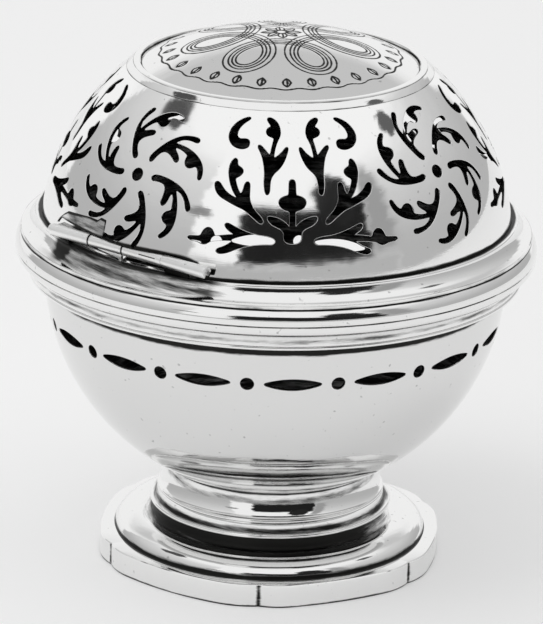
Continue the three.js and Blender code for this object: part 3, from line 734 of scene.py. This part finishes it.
bezel_outer = girdle_inner - solder_gap
bezel_inner = bezel_outer - bezel_wall
bezel_angles = once_round(720)[:, None]
from_cut = (barrel_half_length + 1 - np.abs(bezel_outer * np.cos(bezel_angles))) / 0.4
at_back = np.clip(from_cut, 0, 1) * (np.sin(bezel_angles) > 0)
bezel_top = lip_top + bezel_rise - at_back * (bezel_rise + solder_gap)
bottom = np.full_like(bezel_top, bezel_bottom)
bezel_r = np.array([bezel_inner, bezel_outer, bezel_outer, bezel_outer - bezel_edge, bezel_inner])
bezel_z = np.concatenate([bottom, bottom, bezel_top - bezel_edge, bezel_top, bezel_top], axis=1)
bezel = mesh_from_grid("bezel_sheet_ring", about_axis(bezel_r, bezel_angles, bezel_z))
x, y, z = places(bezel).T
bezel_inside = np.hypot(x, y) < bezel_outer - bezel_wall / 2
# A darker line where the bezel rises out of the mouth, and its inside painted dark as shade
bezel_dirt_and_shade = np.maximum(near_rings(bezel, [((bezel_outer, lip_top), 0.5, 0.8)]), bezel_inside * painted_inside_shade)
finish_piece(bezel, polished, bezel_dirt_and_shade, "bezel_ring", "base")


# The lid: a dome raised from sheet and sawn through with four rosettes of hooked sprigs and, between
# them, four bouquets. At the back its edge is notched for the hinge.
lid_radius = bowl_radius + 0.9
lid_centre = lip_top - 6.3
frame_angle = np.radians(40)
frame_base = lid_centre + lid_radius * np.cos(frame_angle)
knuckle_radius = 1.1
hinge_axis_y = 41.2
hinge_axis_z = lip_top + 0.8 + knuckle_radius
motif_repeats = 4
motif_turn = 88.2
rosette_elevations = [29.4, 30.5, 30.0, 30.0]
rosette_sprigs = 6
rosette_dot_radius = 1.2
bouquet_elevation = 28.0
bouquet_slip = 0.35

rosette_sprig = sawn_outline((3.15, 0.3), [
    (3.3, 0.95, 4.8, 0.95), (9.4, 0.9, 11.4, -1.2), (12.6, -2.5, 12.75, -3.3), (12.4, -4.2, 11.8, -3.6),
    (10.8, -0.9, 8.9, -0.75), (10.5, -3.4, 10.55, -5.8), (10.6, -8.3, 8.7, -9.6), (8.0, -10.1, 7.9, -9.2),
    (9.1, -8.2, 9.2, -7.1), (7.8, -6.9, 7.75, -5.8), (7.8, -4.8, 9.2, -4.4), (9.2, -2.8, 8.4, -1.5),
    (8.15, -1.7, 8.1, -2.3), (7.9, -3.9, 7.2, -4.15), (6.5, -4.1, 6.7, -3.2), (7.1, -0.6, 5.8, -0.3),
    (4.8, -0.1, 3.9, -0.35), (3.1, -0.4, 3.15, 0.3),
])
tall_sprig = sawn_outline((4.7, 0.7), [
    (4.2, 0.9, 4.2, 2.4), (4.2, 4.2, 2.9, 5.1), (1.5, 6.4, 0.9, 9.2), (0.9, 10.0, 1.5, 9.4),
    (2.4, 8.0, 3.5, 7.5), (3.3, 9.6, 2.6, 11.0), (1.8, 12.4, 2.6, 14.2), (3.4, 15.6, 4.4, 15.5),
    (5.0, 15.2, 3.8, 13.6), (4.9, 13.4, 4.8, 12.4), (4.7, 11.6, 3.4, 11.3), (3.9, 9.6, 4.2, 8.0),
    (4.8, 8.9, 5.6, 9.9), (6.4, 10.6, 6.3, 9.5), (5.3, 7.8, 5.2, 4.6), (5.4, 2.8, 5.2, 1.6),
    (5.1, 0.6, 4.7, 0.7),
])
comma = sawn_outline((7.6, 15.8), [
    (9.6, 15.5, 10.8, 13.9), (12.2, 11.8, 10.7, 10.1), (9.2, 8.9, 7.9, 9.7), (7.2, 11.4, 8.6, 11.45),
    (9.7, 11.3, 9.9, 12.0), (9.9, 13.8, 7.6, 15.1), (7.0, 15.6, 7.6, 15.8),
])
side_sprig = sawn_outline((5.5, -4.2), [
    (5.3, -3.6, 6.3, -2.6), (7.9, -0.9, 7.8, 0.8), (7.7, 2.0, 7.7, 2.9), (8.0, 3.9, 8.7, 2.9),
    (8.9, 1.7, 9.35, 1.1), (10.0, 2.0, 10.3, 4.0), (8.9, 4.4, 8.8, 5.3), (9.0, 6.0, 9.9, 6.4),
    (9.6, 7.5, 10.2, 7.9), (11.4, 7.2, 11.5, 5.2), (11.4, 2.2, 10.0, 0.4), (11.9, 1.2, 12.7, 2.9),
    (13.4, 4.3, 14.0, 3.4), (14.2, 1.3, 12.2, 0.2), (10.6, -0.9, 8.9, -1.7), (7.6, -2.8, 6.5, -3.9),
    (5.8, -4.5, 5.5, -4.2),
])
low_branch = sawn_outline((3.4, -7.2), [
    (3.9, -6.6, 6.3, -6.3), (8.8, -5.7, 11.3, -4.1), (12.3, -3.5, 12.3, -4.4), (11.9, -5.3, 10.6, -6.0),
    (12.6, -6.0, 14.1, -6.2), (14.2, -4.6, 15.3, -4.5), (16.2, -4.6, 16.7, -6.0), (17.9, -5.9, 18.9, -5.8),
    (19.7, -6.1, 18.6, -6.7), (17.5, -6.9, 17.0, -7.2), (16.0, -8.0, 15.0, -7.1), (13.0, -6.9, 10.9, -7.1),
    (12.2, -8.1, 13.6, -8.3), (14.4, -8.8, 13.6, -9.3), (12.5, -9.5, 11.0, -8.9), (8.0, -7.7, 4.2, -7.9),
    (3.3, -7.9, 3.4, -7.2),
])
palmette_tip = (0, 3.6)
palmette_half = [
    (0.6, 3.7, 0.6, 2.6), (0.65, 0.7), (2.4, 0.5, 2.45, -0.6), (2.2, -1.95, 0.5, -2.1), (0.5, -5.0),
    (1.5, -3.4, 3.7, -3.0), (4.9, -2.7, 4.2, -3.8), (3.8, -4.5, 2.8, -4.9), (1.3, -5.4, 1.6, -6.7),
    (1.6, -7.8, 0.0, -7.8),
]


def mirrored_back(start, steps):
    """The steps of a half outline taken back from its end to its start, mirrored from right to left."""
    stops = [start] + [step[-2:] for step in steps[:-1]]
    back = []
    for step, (x, y) in zip(reversed(steps), reversed(stops)):
        control = (-step[0], step[1]) if len(step) == 4 else ()
        back.append((*control, -x, y))
    return back


def turned_outline(points, angle):
    """The outline turned about its motif's middle by angle degrees."""
    c, s = np.cos(np.radians(angle)), np.sin(np.radians(angle))
    return points @ np.array([[c, s], [-s, c]])


def notched_rim(count):
    """The lid's lower edge as directions: a level circle, raised at the back to where the sphere leaves
    a cylinder round the hinge's axis, found by repeating z = axis + sqrt(reach^2 - (y - axis)^2)."""
    a = once_round(count)
    reach = knuckle_radius + solder_gap
    z = np.full(count, hinge_axis_z + reach)
    for _ in range(12):
        y = np.sqrt(lid_radius**2 - (z - lid_centre) ** 2) * np.sin(a)
        z = hinge_axis_z + np.sqrt(np.maximum(reach**2 - (y - hinge_axis_y) ** 2, 0))
    notched = (y > hinge_axis_y - reach) & (np.sin(a) > 0)
    rise = (np.where(notched, z, lip_top) - lid_centre) / lid_radius
    return about_axis(np.sqrt(1 - rise**2), a, rise)


rosette = [round_hole(rosette_dot_radius)]
rosette += [turned_outline(rosette_sprig, 360 / rosette_sprigs * k) for k in range(rosette_sprigs)]
bouquet = [sawn_outline(palmette_tip, palmette_half + mirrored_back(palmette_tip, palmette_half))]
for half in (tall_sprig, comma, side_sprig, low_branch):
    bouquet.append(half + [bouquet_slip, 0])
    bouquet.append((half * [-1, 1])[::-1] + [bouquet_slip, 0])
lid_openings = []
for repeat in range(motif_repeats):
    azimuth = motif_turn + 360 / motif_repeats * repeat
    lid_openings += sawn_openings(rosette, azimuth, rosette_elevations[repeat], lid_radius)
    lid_openings += sawn_openings(bouquet, azimuth + 180 / motif_repeats, bouquet_elevation, lid_radius)
lid_rims = [notched_rim(720), level_rim(lid_centre, lid_radius, frame_base, 720)]
lid_dome = pierced_shell("lid_dome_globe", lid_centre, lid_radius, lid_rims, lid_openings, 1, 1.5,
                         [0.2, 0.45, 0.75, 1.1])
# The same raised silver as the bowl's, given a lighter tone: painted light on the dome and its leaf
dome_silver_lit = silver_finish("raised_dome_silver_lit", wave_size=45.0, wave_height=1.6, scratch_height=0.015,
                            smooth=0.04, worn=0.10, tone=0.93)
lid_foot_radius = np.sqrt(lid_radius**2 - (lip_top - lid_centre) ** 2)
# Painted shade in a band where the dome's foot meets the lip, and the openings' walls and the inside painted
# dark as shade
lid_dirt_and_shade = shell_dirt_and_shade(lid_dome, lid_centre, lid_radius, [((lid_foot_radius, lip_top), 0.55, 1.25)])
x, y, z = places(lid_dome).T
# Along the hinge notch a dark band, part painted shadow of the barrel and part dirt
from_notch = np.hypot(y - hinge_axis_y, z - hinge_axis_z) - knuckle_radius - solder_gap
by_hinge = (y > 0) & (np.abs(x) < barrel_half_length + 1)
lid_dirt_and_shade = np.maximum(lid_dirt_and_shade, bell(from_notch, 0.55) * by_hinge)
finish_piece(lid_dome, dome_silver_lit, lid_dirt_and_shade, "lid_dome", "lid")


# The frame round the top: a flat drawn ring soldered over the dome's upper edge, holding the panel.
# Its outer side slopes in a plain flat, and both its edges are worn round.
frame_radius = lid_radius * np.sin(frame_angle)
frame_top = frame_base + 1.35
frame_inner = frame_radius - 2.46
frame_ledge = frame_base + 0.4
frame_ledge_inner = frame_inner - 1.3
frame_shoulder = 1.2

frame_foot = np.array([frame_radius, frame_base])
shoulder = np.array([frame_radius - frame_shoulder, frame_top])
inner_edge = np.array([frame_inner, frame_top])
lid_frame = turned("lid_frame_ring", [
    [[frame_ledge_inner, frame_base], frame_foot],
    bend(frame_foot + (0, 0.04), frame_foot + (-0.7, 0.8), shoulder + (0, -0.2), 12),
    bend(shoulder + (-0.05, -0.12), shoulder + (-0.4, 0), inner_edge + (0.1, 0), 8),
    [inner_edge + (0, -0.15), [frame_inner, frame_ledge], [frame_ledge_inner, frame_ledge]],
])
finish_piece(lid_frame, polished, near_rings(lid_frame, [
    (inner_edge + (-0.1, -0.35), 0.3, 0.8),
    (shoulder + (0, -0.18), 0.14, 0.62),
    (frame_foot, 0.25, 0.75),
]), "lid_top_frame", "lid")


# The panel: a low domed disc of sheet inside the frame, engraved with a flower of eight petals, an
# interlaced ribbon round it and a wreath. The graver leaves V-shaped lines that hold dirt.
panel_radius = 56.0
panel_edge_height = 0.5
panel_turns = 640
panel_rings = 130
graver_width = 0.56
graver_depth = 0.08
ribbon_reach = 11.2
ribbon_loops = 6
ribbon_swings = (4.6, 5.3, 6.0, 7.0)
wreath_leaves = 28
wreath_reach = 21.8

panel_edge = frame_inner - 0.12
panel_centre = frame_ledge + panel_edge_height - np.sqrt(panel_radius**2 - (frame_inner - solder_gap) ** 2)


def petal_lines(count, inner, outer, width, turn):
    """Outlines of pointed petals in polar form: along each petal the reach runs from inner to outer and
    the half width is width sin(pi t)^0.8, to both sides of the petal's middle line."""
    t = np.linspace(0, 1, 60)
    reach = inner + (outer - inner) * t
    half = width * np.sin(np.pi * t) ** 0.8
    lines = []
    for k in range(count):
        middle = np.radians(turn) + 2 * np.pi * k / count
        for side in (-1, 0.12, 1):
            lines.append(about_axis(reach, middle + side * half / np.maximum(reach, 1), 0))
    return lines


engraved_lines = petal_lines(8, 0.9, 3.6, 0.8, 0) + petal_lines(wreath_leaves, 19.0, 21.2, 0.7, 4)
# The ribbon: p = reach (cos t, sin t) + swing (cos 6t, -sin 6t), engraved as four lines side by side
t = np.linspace(0, 2 * np.pi, 1500)
for swing in ribbon_swings:
    engraved_lines.append(about_axis(ribbon_reach, t, 0) + about_axis(swing, -ribbon_loops * t, 0))
t = np.linspace(0, 2 * np.pi, 700)
for reach in (0.8, wreath_reach + 0.2 * np.sin(wreath_leaves * t)):
    engraved_lines.append(about_axis(reach, t, 0))
engraved = np.concatenate(engraved_lines)
panel_around = once_round(panel_turns)
ring_reach = np.linspace(0, 1, panel_rings) ** 0.8 * panel_edge
top_points = about_axis(ring_reach[:, None], panel_around, 0).reshape(-1, 3)
line_distance = np.full(len(top_points), np.inf)
for part in np.array_split(engraved, 60):
    gaps = np.hypot(top_points[:, :1] - part[:, 0], top_points[:, 1:2] - part[:, 1])
    line_distance = np.minimum(line_distance, gaps.min(axis=1))
cut = np.clip(1 - line_distance / (graver_width / 2), 0, 1)


def panel_height(x, y):
    """The height of the panel's sphere: centre + sqrt(radius^2 - x^2 - y^2)."""
    return panel_centre + np.sqrt(panel_radius**2 - x**2 - y**2)


top_points[:, 2] = panel_height(*top_points[:, :2].T) - cut * graver_depth
under_reach = np.array([1.0, 0.97, 0.6, 0.0])[:, None] * panel_edge
under_z = panel_centre + np.sqrt((panel_radius - shell_wall) ** 2 - under_reach**2)
panel = mesh_from_grid("lid_panel_disc", np.concatenate([
    top_points.reshape(panel_rings, panel_turns, 3), about_axis(under_reach, panel_around, under_z),
]).transpose(1, 0, 2), 40.0)
x, y, z = places(panel).T
graved = np.clip(1.7 * (panel_height(x, y) - z) / graver_depth, 0, 1)
panel_dirt = np.maximum(graved, 0.8 * bell(np.hypot(x, y) - panel_edge, 0.3))
finish_piece(panel, polished, panel_dirt, "lid_top_panel", "lid")


# The hinge: a barrel of four knuckles rolled from strip, two on the lid and two on the lip, turning on
# a drawn wire pin. The first knuckle is part of a leaf that lies on the lid.
pin_radius = 0.45
pin_clearance = 0.25
knuckle_joints = [8.6, 0.7, -8.4]
knuckle_gaps = [0.2, 0.3, 0.06]
knuckle_turns = 96
leaf_thickness = 0.16


def knuckle(name, x0, x1, bore, end_round):
    """A tube along X: a closed profile of (x, r) with rounded ends carried round the hinge's axis."""
    steps = np.linspace(x0 + 1.2, x1 - 1.2, 24)
    side = np.stack([steps, np.full_like(steps, knuckle_radius)], axis=1)
    ends = [[x1 - 0.5, knuckle_radius], [x1 - 0.12, knuckle_radius - 0.2], [x1, knuckle_radius - 0.45]]
    if x1 < barrel_half_length:
        ends = [[x1, knuckle_radius]]
    mouth = pin_radius + 0.02 if x0 == -barrel_half_length else bore
    profile = np.concatenate([[[x0, mouth], [x0, knuckle_radius]], side, ends, [[x1, bore]]])
    worn_flush = np.abs(profile[:, :1] - knuckle_joints[-1]) < 0.1
    profile = rounded(profile, np.where(worn_flush, 0.03, end_round))
    around = about_axis(profile[:, 1], once_round(knuckle_turns)[:, None], profile[:, 0])
    return mesh_from_grid(name, around[..., [2, 0, 1]] + [0, hinge_axis_y, hinge_axis_z])


worn_barrel = silver_finish("worn_barrel_silver", wave_size=120.0, wave_height=0.8, scratch_height=0.02,
                            smooth=0.36, worn=0.5, tone=0.93)
marks = [barrel_half_length, *knuckle_joints, -barrel_half_length]
for number, (name, node) in enumerate((
    ("lid_leaf_knuckle", "lid_hinge_leaf"),
    ("lip_knuckle_centre", "body_knuckle_centre"),
    ("lid_knuckle_centre_tube", "lid_knuckle_centre"),
    ("lip_knuckle_end", "body_knuckle_end"),
)):
    x1 = marks[number] - (knuckle_gaps[number - 1] / 2 if number > 0 else 0)
    x0 = marks[number + 1] + (knuckle_gaps[number] / 2 if number < 3 else 0)
    tube = knuckle(name, x0, x1, pin_radius + pin_clearance, 0.12)
    # Dirt in the joints and in the strip's closing line on the third knuckle, and painted shade along the
    # underside
    x, y, z = places(tube).T
    round_axis = np.degrees(np.arctan2(z - hinge_axis_z, y - hinge_axis_y))
    joint_dirt = 0.9 * bell(np.abs(x[:, None] - knuckle_joints[:2]).min(axis=1), 0.25)
    painted_underside_shade = 0.9 * np.clip((-35 - round_axis) / 30, 0, 1)
    strip_line = bell(round_axis - 18, 6) * (np.abs(x + 5.3) < 1.9) * (number == 2)
    tube_dirt_and_shade = np.max([joint_dirt, painted_underside_shade, strip_line], axis=0)
    finish_piece(tube, worn_barrel, tube_dirt_and_shade, node, "lid" if number % 2 == 0 else "base")


def strap(name, outline, y0, y1):
    """A short piece of strip: a closed outline of (x, z) carried from y0 to y1 and closed at both ends."""
    loop = np.insert(np.asarray(outline, float), 1, 0, axis=1)
    middle = np.broadcast_to(loop.mean(axis=0), loop.shape)
    slices = [middle + [0, y0, 0], loop + [0, y0, 0], loop + [0, y1, 0], middle + [0, y1, 0]]
    return mesh_from_grid(name, np.stack(slices), 30.0)


def block(x0, x1, z0, z1):
    """A plain outline from x0 down to x1 and from z0 to z1."""
    return [[x0, z0], [x1, z0], [x1, z1], [x0, z1]]


# Straps of the same strip run from the knuckles on the lip down to it, and from the other two to the lid
strap_top = hinge_axis_z - 0.5
strap_foot = lip_top + 0.01
wedge = np.concatenate([
    [[6.4, strap_top], [0.95, strap_top], [0.95, strap_foot], [1.25, strap_foot]],
    bend([2.2, strap_foot + 0.35], [4.0, strap_top - 0.75], [6.4, strap_top - 0.45], 8),
])
end_strap = block(-8.8, -14.2, strap_top, strap_foot)
lid_strap = block(0.3, -8.0, hinge_axis_z + 0.85, hinge_axis_z + 1.45)
leaf_strap = block(17.4, 9.0, hinge_axis_z, hinge_axis_z + 0.8)
# The strap under the barrel's end and the lid's centre strap are painted nearly black as shade round the
# barrel; the leaf's strap is half dark and the wedge nearly bright
for name, outline, y0, y1, darkening, node, body in (
    ("lip_knuckle_strap", wedge, 41.3, 41.85, 0.15, "body_knuckle_centre", "base"),
    ("lip_knuckle_end_strap", end_strap, 41.1, 41.5, 1.0, "body_knuckle_end", "base"),
    ("lid_knuckle_strap", lid_strap, 40.5, 41.25, 0.9, "lid_knuckle_centre", "lid"),
    ("lid_leaf_strap", leaf_strap, 38.2, 40.6, 0.5, "lid_hinge_leaf", "lid"),
):
    finish_piece(strap(name, outline, y0, y1), worn_barrel, darkening, node, body)


def plate_on_lid(name, x, low, high, offset, thickness):
    """A thin plate that lies on the lid's sphere: at each x it runs from height low to height high,
    at the distance offset outside the sphere, and is thickness thick, with a rounded rim."""
    t = np.linspace(0, 1, 22)
    z = low[:, None] + (high - low)[:, None] * t
    x_grid = np.broadcast_to(x[:, None], z.shape)
    full = lid_radius + offset + thickness * (1 - (2 * t - 1) ** 8)[None, :] * 0.6 + thickness * 0.4
    outer_y = np.sqrt(np.maximum(full**2 - (z - lid_centre) ** 2 - x_grid**2, 1))
    inner_y = np.sqrt((lid_radius + offset) ** 2 - (z - lid_centre) ** 2 - x_grid**2)
    front = np.stack([x_grid, outer_y, z], axis=-1)
    back = np.stack([x_grid, inner_y, z], axis=-1)[:, ::-1]
    loop = np.concatenate([front, back], axis=1)
    first, last = loop[:1].mean(axis=1), loop[-1:].mean(axis=1)
    caps = [np.broadcast_to(middle[:, None], loop[:1].shape) for middle in (first, last)]
    return mesh_from_grid(name, np.concatenate([caps[0], loop, caps[1]]), 50.0)


# The leaf's upper edge is filed by hand into a soft shoulder at each end; solder and dirt lie along it
leaf_marks = [5.4, 6.6, 7.4, 9.5, 13.8, 16.5, 17.8, 19.1, 19.8]
leaf_rises = [4.4, 4.5, 3.9, 3.9, 3.4, 3.0, 2.2, 1.2, 0.4]
leaf_x = np.linspace(leaf_marks[0], leaf_marks[-1], 90)
leaf_top = hinge_axis_z + np.interp(leaf_x, leaf_marks, leaf_rises)
leaf_foot = np.minimum(hinge_axis_z + 1.3, leaf_top - 0.3)
leaf = plate_on_lid("lid_leaf_plate", leaf_x, leaf_foot, leaf_top, 0.02, leaf_thickness)
x, y, z = places(leaf).T
upper_edge = bell(np.interp(x, leaf_x, leaf_top) - z, 0.6)
lower_edge = 0.9 * bell(z - np.interp(x, leaf_x, leaf_foot), 0.7)
# The whole leaf is darkened to a middle grey, and its foot by the barrel darker, part painted shadow of the
# barrel and part dirt
finish_piece(leaf, dome_silver_lit, np.max([upper_edge, lower_edge, np.full(len(x), 0.58)], axis=0),
             "lid_hinge_leaf", "lid")

drawn_wire = silver_finish("drawn_silver_wire", wave_size=60.0, wave_height=0.6, scratch_height=0.05,
                           smooth=0.16, worn=0.26, tone=0.87)
pin_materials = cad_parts["hinge_pin"].data.materials
pin_materials.clear()
pin_materials.append(drawn_wire)


# The studio: a plain pale sweep of paper under and behind the box. It glows a little, as paper does
# under a broad light.
floor_half = 3.0
floor_mesh = bpy.data.meshes.new("studio_sweep")
corners = [(-floor_half, -floor_half, 0), (floor_half, -floor_half, 0), (floor_half, floor_half, 0),
           (-floor_half, floor_half, 0)]
floor_mesh.from_pydata(corners, [], [(0, 1, 2, 3)])
floor = placed("studio_sweep", floor_mesh)
paper = bpy.data.materials.new("pale_paper")
paper.use_nodes = True
for name, value in (
    ("Base Color", (0.60, 0.60, 0.60, 1.0)),
    ("Emission Color", (1.0, 1.0, 1.0, 1.0)),
    ("Emission Strength", 0.35),
    ("Roughness", 0.9),
    ("Specular IOR Level", 0.1),
):
    paper.node_tree.nodes["Principled BSDF"].inputs[name].default_value = value
floor_mesh.materials.append(paper)


# The room that the silver reflects, by direction from the camera's side: white above, grey to both
# sides and high behind, a dark shape low in the middle, as of a camera on its stand, and paper below.
camera_azimuth = 129.2
world = bpy.data.worlds.new("studio_room")
bpy.context.scene.world = world
world.use_nodes = True
tree = world.node_tree
tree.nodes.clear()
direction = added(tree, "TexCoord").outputs["Generated"]

# Azimuth from the camera's side and elevation, both in degrees; positive azimuth lies to its right.
# A little noise, up to 8 degrees and 6 degrees, makes the edges of the shapes in the room uneven.
unevenness = noise(tree, direction, 4.0, 7.0, 0.68, 4.5)
shift = added(tree, "SeparateColor")
tree.links.new(unevenness.outputs["Color"], shift.inputs["Color"])
x, y, z = axes_of(tree, direction)
plain_azimuth = calc(tree, "MULTIPLY_ADD", calc(tree, "ARCTAN2", y, x), 180 / np.pi, -camera_azimuth)
low_azimuth = calc(tree, "ADD", plain_azimuth, -8.0)
uneven_azimuth = calc(tree, "MULTIPLY_ADD", shift.outputs["Red"], 16.0, low_azimuth)
azimuth = calc(tree, "WRAP", uneven_azimuth, 180.0, -180.0)
low_elevation = calc(tree, "ADD", calc(tree, "MULTIPLY", calc(tree, "ARCSINE", z), 180 / np.pi), -6.0)
elevation = calc(tree, "MULTIPLY_ADD", shift.outputs["Green"], 12.0, low_elevation)


def band(value, low, high, soft):
    """1 between low and high, fading to 0 over soft on each side."""
    rising = soft_step(tree, value, low - soft, low + soft)
    return calc(tree, "MULTIPLY", rising, soft_step(tree, value, high + soft, high - soft))


def wall(start, end, side_soft, bottom, top, level_soft):
    """1 from start to end in azimuth and from bottom to top in elevation."""
    across = band(azimuth, start, end, side_soft)
    return calc(tree, "MULTIPLY", across, band(elevation, bottom, top, level_soft))


def patch(middle_azimuth, middle_elevation, reach_azimuth, reach_elevation, soft):
    """1 inside an ellipse in azimuth and elevation, fading to 0 over soft of its reach."""
    squares = []
    for value, middle, reach in (
        (azimuth, middle_azimuth, reach_azimuth), (elevation, middle_elevation, reach_elevation),
    ):
        part = calc(tree, "DIVIDE", calc(tree, "SUBTRACT", value, middle), reach)
        squares.append(calc(tree, "MULTIPLY", part, part))
    return soft_step(tree, calc(tree, "SQRT", calc(tree, "ADD", *squares)), 1 + soft, 1 - soft)


# Each wall has its azimuth from, to and softness, and then its elevation likewise; each patch has its
# middle, its reach and its softness. With each goes its grey.
light = calc(tree, "MULTIPLY_ADD", soft_step(tree, elevation, -20.0, 20.0), 0.05, 0.90)
side_grey = calc(tree, "MULTIPLY_ADD", soft_step(tree, elevation, 4.0, 46.0), 0.24, 0.47)
from_behind = calc(tree, "SUBTRACT", 180.0, calc(tree, "ABSOLUTE", azimuth))
behind = calc(tree, "MULTIPLY", soft_step(tree, from_behind, 50.0, 30.0), band(elevation, 29.0, 75.0, 7.0))
for mask, level in (
    (wall(-135.0, -42.0, 1.5, -10.0, 48.0, 9.0), side_grey),
    (wall(62.0, 150.0, 2.5, -10.0, 44.0, 9.0), side_grey),
    (wall(-42.0, 63.0, 3.0, -8.0, 7.0, 3.0), 0.46),
    (wall(50.0, 63.0, 2.5, 7.0, 45.0, 4.0), 0.34),
    (wall(-19.0, 50.0, 1.2, 7.0, 33.5, 1.5), 0.015),
    (patch(34.0, 36.0, 11.5, 11.5, 0.08), 0.02),
    (patch(-41.0, 27.0, 8.0, 3.0, 0.2), 0.26),
    (patch(-105.0, 50.0, 14.0, 7.0, 0.14), 0.08),
    (patch(102.0, 48.0, 9.0, 5.0, 0.2), 0.12),
    (behind, 0.6),
):
    mix = added(tree, "Mix")
    mix.data_type = "FLOAT"
    if isinstance(level, float):
        mix.inputs["B"].default_value = level
    else:
        tree.links.new(level, mix.inputs["B"])
    tree.links.new(mask, mix.inputs["Factor"])
    tree.links.new(light, mix.inputs["A"])
    light = mix.outputs["Result"]
room = added(tree, "Background", Strength=1.0)
tree.links.new(light, room.inputs["Color"])
tree.links.new(room.outputs["Background"], added(tree, "OutputWorld").inputs["Surface"])


# The lamp: one broad soft light high on the camera's left. It lights the paper and doesn't show in the
# silver.
lamp_data = bpy.data.lights.new("left_soft_light", "AREA")
lamp_data.size = 0.8
lamp_data.energy = 3.0
lamp = placed("left_soft_light", lamp_data)
lamp.visible_glossy = False


def aimed(azimuth, reach, height, yaw, pitch, roll):
    """The place and turn of a lamp or camera at this azimuth, reach and height, in metres. It looks
    to the box's axis, turned aside by yaw, up by pitch and over by roll, in degrees."""
    stand = Matrix.Translation(about_axis(reach, np.radians(azimuth), height))
    swing, tilt, lean = np.radians([azimuth + 90 - yaw, 90 + pitch, roll])
    return (stand @ Matrix.Rotation(swing, 4, "Z") @ Matrix.Rotation(tilt, 4, "X")
            @ Matrix.Rotation(lean, 4, "Z"))


lamp.matrix_world = aimed(camera_azimuth - 70, reach=0.6, height=1.0892305, yaw=0, pitch=-60, roll=0)


# The camera: a long lens from the left of the hinge, a little above the box, at the photograph's view.
view = bpy.data.cameras.new("photograph_view")
view.lens = 282.4
view.sensor_width = 36.0
view.clip_end = 20.0
camera = placed("photograph_view", view)
camera.matrix_world = aimed(camera_azimuth, reach=0.85, height=0.33375, yaw=-0.036, pitch=-18.732, roll=1.406)
bpy.context.scene.camera = camera
bpy.context.scene.view_settings.view_transform = "Standard"
